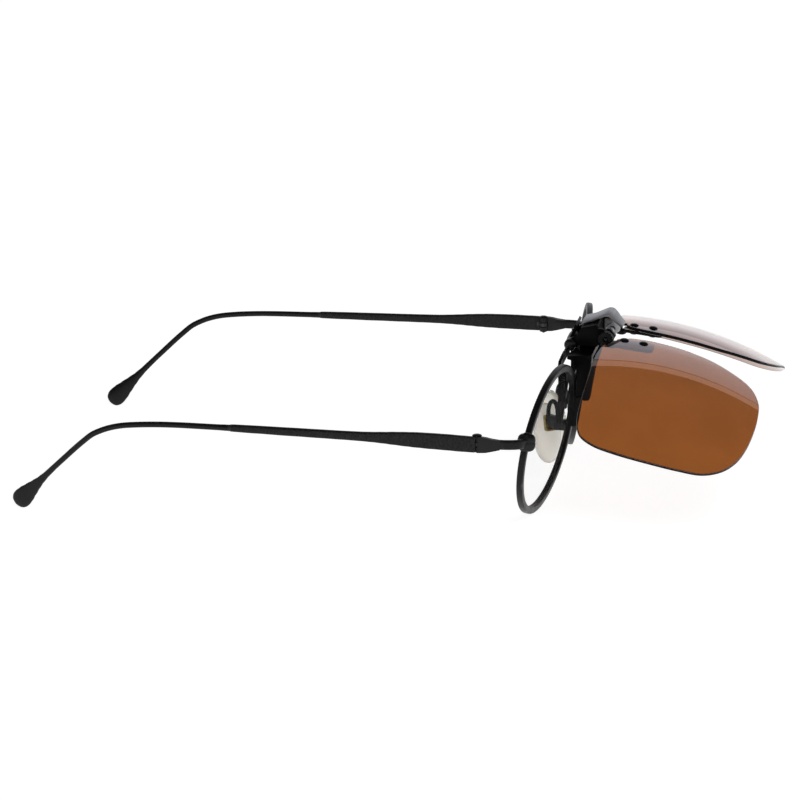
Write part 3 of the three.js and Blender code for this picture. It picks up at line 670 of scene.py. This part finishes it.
# Distance from the far end, half width in the plane of the bend, half thickness.
TIP_SECTION = [(0, 0.35, 0.3), (0.15, 1.05, 0.45), (0.5, 1.75, 0.62), (1.1, 2.25, 0.76), (2.0, 2.6, 0.85),
               (3.2, 2.72, 0.88), (5, 2.5, 0.86), (7.5, 2.0, 0.82), (10, 1.5, 0.78), (12.5, 1.1, 0.76),
               (15.5, 0.86, 0.75), (20, 0.78, 0.74), (60, 0.78, 0.76), (76.0, 0.8, 0.78), (77.2, 0.84, 0.82),
               (79.5, 0.86, 0.84)]


def tip_section(share):
    left = max(0.0, (1 - share) * TIP_LENGTH)
    _, width, thickness = between(TIP_SECTION, left)
    return oval(thickness, width, 2.25, 24)


def tip_shape():
    """The round wire behind the ear and the flat paddle at its end, with stops close at the tip."""
    line = smooth_line(TIP_ROUTE, 7)
    end, before = line[-1], line[-2]
    step = (end - before).normalized()
    close = [end - step * d for d in (1.15, 0.8, 0.5, 0.3, 0.15, 0.05)]
    body = [p for p in line if (p - end).length > 1.3]
    return sweep(body + close + [end], tip_section)


def temple_hinge_shapes():
    """The temple's own knuckle with its link to the bar, and the room for the end piece's knuckles."""
    x, y, z, middle = -HINGE.x, HINGE.y, HINGE.z, KNUCKLE["middle"]
    link = box((x - 1.2, y + 0.6, z - middle), (x - 0.3, y + 1.9, z + middle))
    eye = knuckle(RIGHT, z - middle, z + middle)
    room = [lathe(rod(KNUCKLE["outer"] + 0.2, 4), Matrix.Translation((x, y, foot)))
            for foot in (z - middle - 4.05, z + middle + 0.05)]
    return [link, eye], room


for word, side in SIDES:
    bar, tip = (on_side(moved(shape, TEMPLE_PLACE), side, RIGHT) for shape in (bar_shape(), tip_shape()))
    fixed, room = temple_hinge_shapes()
    piece(f"{word}_temple_bar", bar, f"{word}_temple_arm", [f"{word}_temple"], TEMPLE_BLACK,
          fused=[on_side(s, side, RIGHT) for s in fixed], cuts=[on_side(s, side, RIGHT) for s in room])
    piece(f"{word}_temple_end", tip, f"{word}_temple_arm", [f"{word}_temple_tip"], BLACK)

# ---- nose pads ----
PAD = {"x": 8.3, "y": 3.6, "z": 13.9, "half_width": 4.1, "half_height": 8.4, "half_depth": 1.1}
PAD_BOX = {"up": 2.9, "back": -2.05}


def pad_place(side):
    face = Vector((-side * 0.82, 0.54, -0.2)).normalized()
    along = (UP - face * face.z).normalized()
    return Matrix.Translation((side * PAD["x"], PAD["y"], PAD["z"])) @ axes(along.cross(face), along, face)


def pad_shape():
    """A drop-shaped pillow, wider below, crowned towards the nose."""
    levels = [(-1.0, 0.05), (-1.1, 0.5), (-1.05, 0.78), (-0.85, 0.9), (-0.45, 0.98), (0, 1.0), (0.4, 0.96),
              (0.75, 0.86), (0.98, 0.68), (1.08, 0.4), (1.1, 0.05)]
    rings = []
    for z, share in levels:
        ring = []
        for t in around(48):
            height = PAD["half_height"] * math.sin(t)
            width = PAD["half_width"] * math.cos(t) * (1 - 0.13 * math.sin(t))
            ring.append((width * share, height * share, z * PAD["half_depth"] / 1.1))
        rings.append(ring)
    return loft(rings)


def pad_box_shapes():
    """The metal box in the pad's back and the hollow in it, open away from the nose."""
    place = (0, PAD_BOX["up"], PAD_BOX["back"])
    shell = pile(place, 1.4, 2.3, 7, 28, ((-0.65, 1), (0.65, 1)))
    hollow = pile(place, 0.95, 1.75, 6, 24, ((-0.9, 1), (0.15, 1)))
    return shell, hollow


ARM_WIRE = [(10.2, -1.4, 17.3), (10.05, -0.3, 17.8), (9.8, 0.35, 19.6), (9.65, 0.6, 21.4), (9.55, 1.05, 22.8),
            (9.5, 1.75, 23.35), (9.5, 2.5, 22.8), (9.6, 2.95, 21.2), (9.75, 3.0, 19.2), (9.95, 2.95, 17.6),
            (10.1, 2.9, 16.4)]


def pad_arm_shapes():
    wire = sweep(smooth_line(ARM_WIRE, 6), lambda share: oval(0.6, 0.6, 2, 16))
    foot = pile((10.2, -1.0, 16.9), 0.75, 1.2, 3.2, 24, ((-1.5, 0.8), (-1.2, 1), (1.2, 1), (1.5, 0.8)))
    eye = pile((10.1, 1.5, 17.8), 0.75, 1.2, 4, 24, ((-1.6, 0.85), (-1.35, 1), (1.35, 1), (1.6, 0.85)))
    return wire, foot, eye


for word, side in SIDES:
    place = pad_place(side)
    piece(f"{word}_soft_pad", moved(pad_shape(), place), f"{word}_pad", [f"{word}_nose_pad"],
          SILICONE, sharp=180)
    shell, hollow = pad_box_shapes()
    piece(f"{word}_pad_box_fine", moved(shell, place), "spectacle_frame", [f"{word}_pad_box"], BRASS,
          bevel=0.12, cuts=[moved(hollow, place)])
    wire, foot, eye = (on_side(shape, side) for shape in pad_arm_shapes())
    piece(f"{word}_pad_arm_wire", wire, "spectacle_frame", [f"{word}_pad_arm"], BLACK,
          fused=[foot, eye])

# ---- clip-on: hinge block, jaws, sleeves ----
LEG = {"x": 14.0, "half": 2.2}
SLEEVE = {"half_width": 2.45, "height": 8.5, "half_depth": 1.0, "pocket": 0.6}
FLANGE = 0.95
GRIPS = {
    "front": {"foot": 18.1, "y": -4.65, "slope": -0.17},
    "rear": {"foot": 16.9, "y": -0.08, "slope": -0.15},
}
EAR = {"inner": 6.6, "outer": 7.6, "bore": 0.95}
BLOCK = [(-3.9, 40.4), (-5.6, 43.9), (-10.2, 44.9), (-10.2, 38.8), (-4.9, 38.8)]
AXLE_EAR = [(-9.6, 43.8), (-11.8, 43.7), (-13.8, 42.7), (-15.0, 41.8), (-15.0, 40.9), (-13.6, 39.4),
            (-12.6, 39.1), (-9.6, 39.1)]
# A pale plate on an axle ear's inner face, seen in the gap: painted light, standing in for light falling on
# that face.
PAINTED_LIGHT_EAR_PLATE = [(-10.3, 43.3), (-11.7, 43.4), (-13.6, 42.4), (-14.7, 41.6), (-14.7, 41.1), (-13.4, 39.8),
            (-12.6, 39.5), (-10.3, 40.3)]
PIN_EAR = [(-1.6, 38.2), (-1.4, 40.1), (-4.2, 41.6), (-5.2, 41.4), (-5.2, 38.9), (-3.7, 37.9)]
BOTH = (RIGHT, LEFT)
ZERO = Vector((0, 0, 0))
# The axle sits a little askew, its left end forward, and so do the ears and the leaf over it.
TWIST = Matrix.Rotation(math.radians(-2.36), 4, "Z")
askew = Matrix.Translation(AXLE) @ TWIST @ Matrix.Translation(-AXLE)


def through(radius, place, half=20):
    """A rod across the whole width, to cut a bore."""
    return lathe(rod(radius, 2 * half), along_x(-half, place.y, place.z), 24)


def hinge_block():
    ears = [moved(prism(AXLE_EAR, s * EAR["inner"], s * EAR["outer"]), askew) for s in BOTH]
    pin_ears = [prism(PIN_EAR, s * 5.6, s * 7.2) for s in BOTH]
    piece("hinge_housing", prism(BLOCK, -EAR["outer"], EAR["outer"]), "clip_body", ["hinge_block"],
          CLIP_BLACK, bevel=0.22, fused=[*ears, *pin_ears],
          cuts=[moved(through(EAR["bore"], AXLE), askew), through(0.85, PIN), through(2.0, PIN, 2.6)])
    for word, side in SIDES:
        # A pale plate on each ear's inner face: painted light.
        plate = prism(PAINTED_LIGHT_EAR_PLATE, side * (EAR["inner"] - 0.12), side * EAR["inner"])
        piece(f"{word}_ear_painted_light_plate", moved(plate, askew), "clip_body", [], BARE_STEEL_AND_PAINTED_LIGHT,
              cuts=[moved(through(EAR["bore"], AXLE), askew)])


def grip_line(grip, z):
    """How far back the middle of a jaw's leg stands at a height."""
    return grip["y"] + grip["slope"] * (z - grip["foot"])


def leg_shapes(grip, outer, inner):
    """Both legs of a jaw, down to the tops of the sleeves, and the tangs inside those."""
    top = grip["foot"] + SLEEVE["height"]
    y = grip_line(grip, top)
    plate = [*outer, (y - FLANGE, top), (y + FLANGE, top), *inner]
    low, high = grip["foot"] + 1.1, top + 0.4
    tang = [(grip_line(grip, z) + back, z) for z, back in ((high, -0.4), (low, -0.4), (low, 0.4), (high, 0.4))]
    found = []
    for s in BOTH:
        for outline, half in ((plate, LEG["half"]), (tang, LEG["half"] - 0.5)):
            found.append(prism(outline, s * LEG["x"] - half, s * LEG["x"] + half))
    return found


def front_jaw():
    shoulder = prism([(-4.9, 37.0), (-4.9, 38.4), (-9.6, 38.5), (-9.6, 37.0)], -4.8, 4.8)
    wing = prism([(-5.3, 36.9), (-5.3, 38.0), (-9.6, 38.3), (-9.6, 36.9)], -16.2, 16.2)
    legs = leg_shapes(GRIPS["front"], [(-2.9, 38.0), (-9.6, 38.2), (-9.4, 34.2)],
                      [(-5.7, 33.4), (-5.0, 35.0), (-4.6, 36.6), (-2.9, 37.1)])
    piece("front_jaw_fine", shoulder, "clip_body", ["front_jaw"], CLIP_BLACK, bevel=0.15,
          fused=[wing, *legs])


def rear_jaw():
    lever = prism([(-3.3, 40.6), (-4.3, 43.8), (-3.7, 44.2), (-2.3, 40.6), (-1.3, 39.7), (-1.0, 37.2),
                   (-1.7, 36.6), (-3.5, 37.8), (-4.05, 39.1)], -5.2, 5.2)
    cross = prism([(-1.9, 37.5), (-1.0, 37.5), (-0.5, 36.4), (-0.3, 34.6), (-0.3, 33.9), (-1.0, 33.9),
                   (-1.2, 36.2)], -16.2, 16.2)
    legs = leg_shapes(GRIPS["rear"], [(-2.0, 38.2), (-1.3, 36.2), (-1.4, 34.6), (-2.7, 33.0), (-2.8, 29.5)],
                      [(-0.5, 30.0), (-0.3, 34.6), (-0.5, 36.4), (-1.3, 38.3)])
    window = prism([(PIN.y + y, PIN.z + z) for y, z in ((-2.3, -2.2), (2.3, -2.2), (2.3, 2.2), (-2.3, 2.2))],
                   -2.8, 2.8)
    piece("rear_jaw_fine", lever, "clip_rear_jaw", ["rear_jaw"], CLIP_BLACK, bevel=0.12,
          fused=[cross, *legs], cuts=[through(0.8, PIN), window])


def sleeve(word, side, which, body):
    """A moulded rubber tip: a rounded box, open above, with a thicker lip at its mouth."""
    grip = GRIPS[which]
    x = side * LEG["x"]
    levels = [(0, 0.86), (0.15, 0.95), (0.5, 1.0), (7.6, 1.0), (7.7, 1.03), (8.35, 1.03), (8.5, 0.97)]

    def ring(z, share, width, depth, power):
        y = grip_line(grip, grip["foot"] + z)
        return [(x + u * share, y + v * share, grip["foot"] + z) for u, v in oval(width, depth, power, 32)]

    outside = loft([ring(z, s, SLEEVE["half_width"], SLEEVE["half_depth"], 5) for z, s in levels])
    pocket = loft([ring(z, 1, SLEEVE["half_width"] - 0.35, SLEEVE["pocket"], 6) for z in (0.9, 9.5)])
    piece(f"{word}_{which}_tip", outside, body, [f"{word}_{which}_sleeve"], RUBBER, cuts=[pocket])


hinge_block()
front_jaw()
rear_jaw()
for word, side in SIDES:
    sleeve(word, side, "front", "clip_body")
    sleeve(word, side, "rear", "clip_rear_jaw")

# ---- jaw pin, spring, leaf ----
pin_profile = [(0.05, 0), (1.1, 0.05), (1.6, 0.35), (1.7, 0.7), (1.7, 1.1), (0.66, 1.1), (0.66, 16.1),
               (0.95, 16.15), (0.95, 16.5), (0.05, 16.6)]
piece("jaw_pin_fine", lathe(pin_profile, along_x(-8.6, PIN.y, PIN.z)), "clip_body", ["jaw_pin"],
      SCREW_BLACK)


def spring_shape():
    """Close coil round the jaw pin, with two straight tails that press on block and jaw."""
    turns, steps = 4.5, 18
    line = [Vector((-2.0, PIN.y - 2.1, PIN.z + 1.3)), Vector((-2.0, PIN.y - 1.1, PIN.z + 1.5))]
    for i in range(int(turns * steps) + 1):
        t = math.pi / 2 + 2 * math.pi * i / steps
        line.append(Vector((-2.0 + 0.85 * i / steps, PIN.y - 1.4 * math.cos(t), PIN.z + 1.4 * math.sin(t))))
    line += [Vector((1.85, -1.7, 36.9)), Vector((1.9, -1.0, 35.6))]
    return sweep(line, lambda share: oval(0.33, 0.33, 2, 12))


piece("jaw_spring_fine", spring_shape(), "clip_body", ["jaw_spring"], DARK_STEEL, sharp=80)

LEAF = [(-5.6, 44.3), (-8.4, 44.9), (-11.7, 46.35), (-12.4, 46.5), (-13.0, 46.35), (-13.7, 45.8),
        (-14.7, 44.7), (-16.3, 43.2), (-16.75, 43.5), (-15.2, 45.25), (-14.3, 46.3), (-13.6, 46.9),
        (-12.9, 47.2), (-12.1, 47.2), (-11.4, 46.95), (-8.2, 45.5), (-5.6, 44.9)]
LEAF_HALF = 4.15
# Seen from above, what is cut away beside the leaf's tapering nose.
BESIDE_NOSE = [(LEAF_HALF, -13.4), (2.3, -17.4), (9.0, -17.4), (9.0, -13.4)]
trims = [loft([[(s * x, y, z) for x, y in BESIDE_NOSE] for z in (40, 50)]) for s in BOTH]
piece("detent_leaf_fine", moved(prism(LEAF, -LEAF_HALF, LEAF_HALF), askew), "clip_body", ["detent_leaf"],
      DARK_STEEL, bevel=0.1, cuts=[moved(t, askew) for t in trims])

# ---- flip axle, cams, carriers, lenses: drawn hanging below the axle, then turned up ----
FLIPPED_UP = 75.3
SUN = {"radius": 102.3, "thickness": 0.75, "half_gap": 6.59, "forward": 7.13, "drop": 1.18, "wrap": 16.5,
       "across": 31, "down": 20.4}
RIVETS = {"across": 4.0, "down": 3.9, "pitch": 5.3}
CARRIER_TILT = math.radians(4)
hang = Matrix.Translation(AXLE) @ TWIST @ Matrix.Rotation(-math.radians(FLIPPED_UP), 4, "X")


def lens_place(side):
    """From the lens's own axes (x left, y up, z forward) to the axle's hanging frame."""
    turn = Matrix.Rotation(side * math.radians(SUN["wrap"]), 4, "Z") @ Matrix.Rotation(math.pi / 2, 4, "X")
    return Matrix.Translation((side * SUN["half_gap"], -SUN["forward"], -SUN["drop"])) @ turn


def dome_height(across, down, radius):
    """Height of a lens face over its outer dome's top, at a place on the lens."""
    x, y = across - SUN["across"], down - SUN["down"]
    return math.sqrt(radius * radius - x * x - y * y) - SUN["radius"]


def on_lens(side, across, down):
    """A frame on the lens surface at a place, z out of the surface."""
    x, y = across - SUN["across"], down - SUN["down"]
    rise = math.sqrt(SUN["radius"] ** 2 - x * x - y * y)
    out = Vector((side * x, -y, rise)).normalized()
    along = (Vector((0, 1, 0)) - out * out.y).normalized()
    point = Vector((side * across, -down, rise - SUN["radius"]))
    return Matrix.Translation(point) @ axes(along.cross(out), along, out)


def tilted_on_lens(side, down, depth=0.0):
    """The frame of a rivet or plate: it drops outwards from the surface."""
    tilt = Matrix.Rotation(side * CARRIER_TILT, 4, "Y") @ Matrix.Translation((0, 0, -depth))
    return on_lens(side, RIVETS["across"], down) @ tilt


# Outwards from the inner edge and down from the top.
SUN_OUTLINE = [(5.4, 0.8), (1.6, 3.6), (0, 9), (-0.1, 15), (0.3, 21), (1.6, 28), (4.4, 34), (8.7, 40.3),
               (16.2, 44.3), (24, 45.6), (31, 46), (39.8, 45.7), (46.7, 44.4), (52.3, 41.6), (56.4, 37),
               (58.4, 30.5), (59.5, 22), (59.5, 14), (58.3, 7.4), (55.6, 3.2), (50.5, 1.1), (43, 0.1),
               (35.9, -0.4), (28.6, -0.9), (21.6, -1.4), (15, -1.4), (9.6, -0.7)]
# Cosine of the turn from the dome beyond which a face counts as edge: more counts above the height.
EDGE_LIMIT = {"top": 0.93, "rest": 0.4, "height": -3}


def sun_lens_shape(side):
    line = smooth_line([(a, b, 0) for a, b in SUN_OUTLINE], 8, closed=True)
    centre = Vector((SUN["across"], SUN["down"], 0))
    inner_radius = SUN["radius"] - SUN["thickness"]

    def ring(share, radius, lift=0.0):
        places = [centre + (p - centre) * share for p in line]
        return [(side * q.x, -q.y, dome_height(q.x, q.y, radius) + lift) for q in places]

    shares = [0.001] + [i / 16 for i in range(1, 16)] + [0.975, 0.994]
    outer = [ring(s, SUN["radius"]) for s in shares]
    inner = [ring(s, inner_radius) for s in reversed(shares)]
    edge = [ring(0.9985, SUN["radius"], -0.1), ring(1, SUN["radius"], -0.22), ring(1, inner_radius, 0.22),
            ring(0.9985, inner_radius, 0.1)]
    return loft(outer + edge + inner)


def paint_edge(thing, side):
    """Gives the lens's cut edge the second material."""
    frame_of_lens = (hang @ lens_place(side)).inverted()
    for face in thing.data.polygons:
        centre = frame_of_lens @ middle_of(face)
        normal = (frame_of_lens.to_3x3() @ face.normal).normalized()
        out = Vector((centre.x - side * SUN["across"], centre.y + SUN["down"], centre.z + SUN["radius"]))
        limit = EDGE_LIMIT["top" if centre.y > EDGE_LIMIT["height"] else "rest"]
        face.material_index = 1 if abs(normal.dot(out.normalized())) < limit else 0


CAM = {"inner": 3, "outer": 5, "half": 1.6, "turn": 38}
BARREL = {"inner": 7.9, "outer": 9.7, "radius": 2.15, "ridges": 14}
HUB_ROOM = {"radius": 3.2, "inner": 7.5, "outer": 10.1}
PLATE = {"half_width": 2.7, "half_length": 5.5, "thickness": 0.9}
AXLE_ROD = {"radius": 0.78, "half": 9.6, "bore": 0.85}
# The axle is bare between the hubs, but for a black collar beside the left cam.
BARE = ((-6.3, 1.5), (5.0, 6.3))


def broken(low, high, share, edge=0.15):
    """Places along an axis and shares of the full size, for a disc whose corners are broken."""
    return (low, share), (low + edge, 1), (high - edge, 1), (high, share)


def cam_shape(side):
    """A rounded square disc: its flats give the flip its stops."""
    ring = oval(CAM["half"], CAM["half"], 5, 40)
    disc = loft([[(side * x, u * s, v * s) for u, v in ring]
                 for x, s in broken(CAM["inner"], CAM["outer"], 0.93)])
    return moved(disc, Matrix.Rotation(math.radians(CAM["turn"]), 4, "X"))


def barrel_shape(side):
    """The knurled end that grips the axle."""
    def ring(x, share):
        found = []
        for i, t in enumerate(around(4 * BARREL["ridges"])):
            radius = BARREL["radius"] * share - (0.16 if i % 4 > 1 else 0)
            found.append((side * x, radius * math.cos(t), radius * math.sin(t)))
        return found

    return loft([ring(x, share) for x, share in broken(BARREL["inner"], BARREL["outer"], 0.92)])


def lug_section(share):
    """Thick at the barrel and thin at the plate."""
    return oval(1.45 - 0.6 * share, 1.05 - 0.5 * share, 4, 20)


def carrier_shapes(side):
    """The plate behind the lens, the lug that joins it to the barrel, and a pale sheet on the plate's front
    face: painted light.
    """
    width, length, half = PLATE["half_width"], PLATE["half_length"], PLATE["thickness"] / 2

    def on_plate(down):
        return lens_place(side) @ tilted_on_lens(side, down, SUN["thickness"] + 0.4 + half)

    centre = on_plate(RIVETS["down"] + RIVETS["pitch"] / 2)
    plate = pile(ZERO, width, length, 7, 36, broken(-half, half, 0.97, 0.1))
    face = pile(ZERO, width - 0.1, length - 0.1, 7, 36, ((half, 1), (half + 0.04, 1)))
    middle = side * (BARREL["inner"] + BARREL["outer"]) / 2
    rear = on_plate(RIVETS["down"] - 1.5) @ ZERO
    route = [(middle, 1.2, -0.6), (middle, 1.45, -1.5), (middle, 1.4, -2.6), rear + Vector((0, 0.2, 0.6)), rear]
    return moved(plate, centre), sweep(smooth_line(route, 6), lug_section), moved(face, centre)


def rivet_shape():
    """Domed head in front, clenched ring behind, on the lens surface at z 0."""
    back = -(SUN["thickness"] + PLATE["thickness"] + 0.45)
    profile = [(0.05, back - 0.5), (0.7, back - 0.45), (1.0, back - 0.25), (1.1, back), (0.55, back),
               (0.55, 0.02), (1.22, 0.02), (1.25, 0.12), (1.1, 0.32), (0.8, 0.48), (0.4, 0.56), (0.05, 0.58)]
    return lathe(profile, count=28)


def axle_shape():
    """A rod along x, with rings where its colour changes."""
    radius, half = AXLE_ROD["radius"], AXLE_ROD["half"]
    changes = [(radius, half + x) for x in (*BARE[0], CAM["inner"], *BARE[1])]
    profile = [(0.05, 0), (0.5, 0.08), (radius, 0.35), *changes, (radius, 2 * half - 0.4),
               (0.5, 2 * half - 0.1), (0.05, 2 * half)]
    return moved(lathe(profile, along_x(-half, 0, 0)), hang)


def paint_axle(thing):
    """Gives the axle's bare stretches the second material."""
    inverse = hang.inverted()
    for face in thing.data.polygons:
        x = (inverse @ middle_of(face)).x
        face.material_index = 1 if any(low < x < high for low, high in BARE) else 0


axle = piece("flip_axle_fine", axle_shape(), "flip_lenses", ["flip_axle"],
             [SCREW_BLACK, BARE_STEEL_AND_PAINTED_LIGHT])
paint_axle(axle)
for word, side in SIDES:
    place = hang @ lens_place(side)
    bore = through(AXLE_ROD["bore"], ZERO)
    # The left cam is painted light: it takes the pale steel, while its mirror twin on the right is black.
    piece(f"{word}_cam_fine", moved(cam_shape(side), hang), "flip_lenses", [f"{word}_cam"],
          BARE_STEEL_AND_PAINTED_LIGHT if side == LEFT else SCREW_BLACK, cuts=[moved(bore, hang)])
    plate, lug, face = carrier_shapes(side)
    piece(f"{word}_carrier_fine", moved(barrel_shape(side), hang), "flip_lenses", [f"{word}_lens_carrier"],
          CARRIER_STEEL, fused=[moved(lug, hang), moved(plate, hang)], cuts=[moved(bore, hang)])
    # The pale sheet on the plate's face is painted light.
    piece(f"{word}_plate_painted_light_face", moved(face, hang), "flip_lenses", [], PLATE_SHEET_PAINTED_LIGHT)
    start = HUB_ROOM["inner"] if side == LEFT else -HUB_ROOM["outer"]
    hub = lathe(rod(HUB_ROOM["radius"], HUB_ROOM["outer"] - HUB_ROOM["inner"]), along_x(start, 0, 0), 40)
    glass = piece(f"{word}_sun_lens_fine", moved(sun_lens_shape(side), place), "flip_lenses",
                  [f"{word}_sun_lens"], [BROWN, LENS_EDGE], cuts=[moved(hub, hang)], sharp=30)
    paint_edge(glass, side)
    for number in (1, 2):
        spot = tilted_on_lens(side, RIVETS["down"] + (number - 1) * RIVETS["pitch"])
        piece(f"{word}_rivet_{number}_fine", moved(rivet_shape(), place @ spot), "flip_lenses",
              [f"{word}_rivet_{number}"], SCREW_BLACK)


# ---- floor, lights, world ----
FLOOR_HALF = 6.0
WALL = {"azimuth": 115.5, "distance": 3.0, "width": 9.0}
# Each stretch of the wall: slopes of its edges seen from the origin, its brightness and its colour.
STRETCHES = ((0.0, 0.27, 0.22, (0.7, 0.8, 1.0)), (0.27, 0.795, 0.61, (0.89, 0.91, 1.0)),
             (0.81, 0.931, 0.6, (1.0, 0.76, 0.66)))


def make_floor():
    mesh = bpy.data.meshes.new("floor")
    corners = [(-1, -1), (1, -1), (1, 1), (-1, 1)]
    mesh.from_pydata([(x * FLOOR_HALF, y * FLOOR_HALF, 0) for x, y in corners], [], [(0, 1, 2, 3)])
    floor = bpy.data.objects.new("floor", mesh)
    bpy.context.scene.collection.objects.link(floor)
    mesh.materials.append(start_material(
        "floor_white", Roughness=0.7, Base_Color=(0.3, 0.3, 0.3, 1), Specular_IOR_Level=0.1,
        Emission_Color=(1, 1, 1, 1), Emission_Strength=0.91)[0])
    floor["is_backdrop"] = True


def area_light(name, place, towards, width, height, power, colour=(1, 1, 1)):
    data = bpy.data.lights.new(name, "AREA")
    data.shape = "RECTANGLE"
    data.size, data.size_y = width, height
    data.energy = power
    data.color = colour
    light = bpy.data.objects.new(name, data)
    light.location = place
    light.rotation_euler = (Vector(towards) - Vector(place)).to_track_quat("-Z", "Y").to_euler()
    bpy.context.scene.collection.objects.link(light)
    return light


def make_lights():
    """A wide white wall behind the left side, and a soft light from the front right."""
    a = math.radians(WALL["azimuth"])
    aim = Vector((math.sin(a), -math.cos(a), 0))
    for low, high, bright, colour in STRETCHES:
        height = (high - low) * WALL["distance"]
        raised = UP * (low + high) / 2 * WALL["distance"]
        area_light("wall", aim * WALL["distance"] + raised, raised, WALL["width"], height,
                   bright * WALL["width"] * height * math.pi, colour)
    key = area_light("key", (-1.9, -1.1, 1.9), (0, 0, 0), 1.2, 1.2, 27)
    key.visible_glossy = False


def make_world():
    """Bright at the horizon and dim above."""
    world = bpy.data.worlds.new("world")
    bpy.context.scene.world = world
    world.use_nodes = True
    tree = world.node_tree
    background = next(n for n in tree.nodes if n.type == "BACKGROUND")
    place = tree.nodes.new("ShaderNodeTexCoord")
    parts = tree.nodes.new("ShaderNodeSeparateXYZ")
    tree.links.new(place.outputs["Generated"], parts.inputs["Vector"])
    sky = colours(tree, parts.outputs["Z"], 0.05, 0.35, (0.95, 0.95, 0.96), (0.07, 0.07, 0.072))
    tree.links.new(sky, background.inputs["Color"])
    background.inputs["Strength"].default_value = 1.0


make_floor()
make_lights()
make_world()
bpy.context.scene.view_settings.view_transform = "Standard"

low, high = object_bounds()
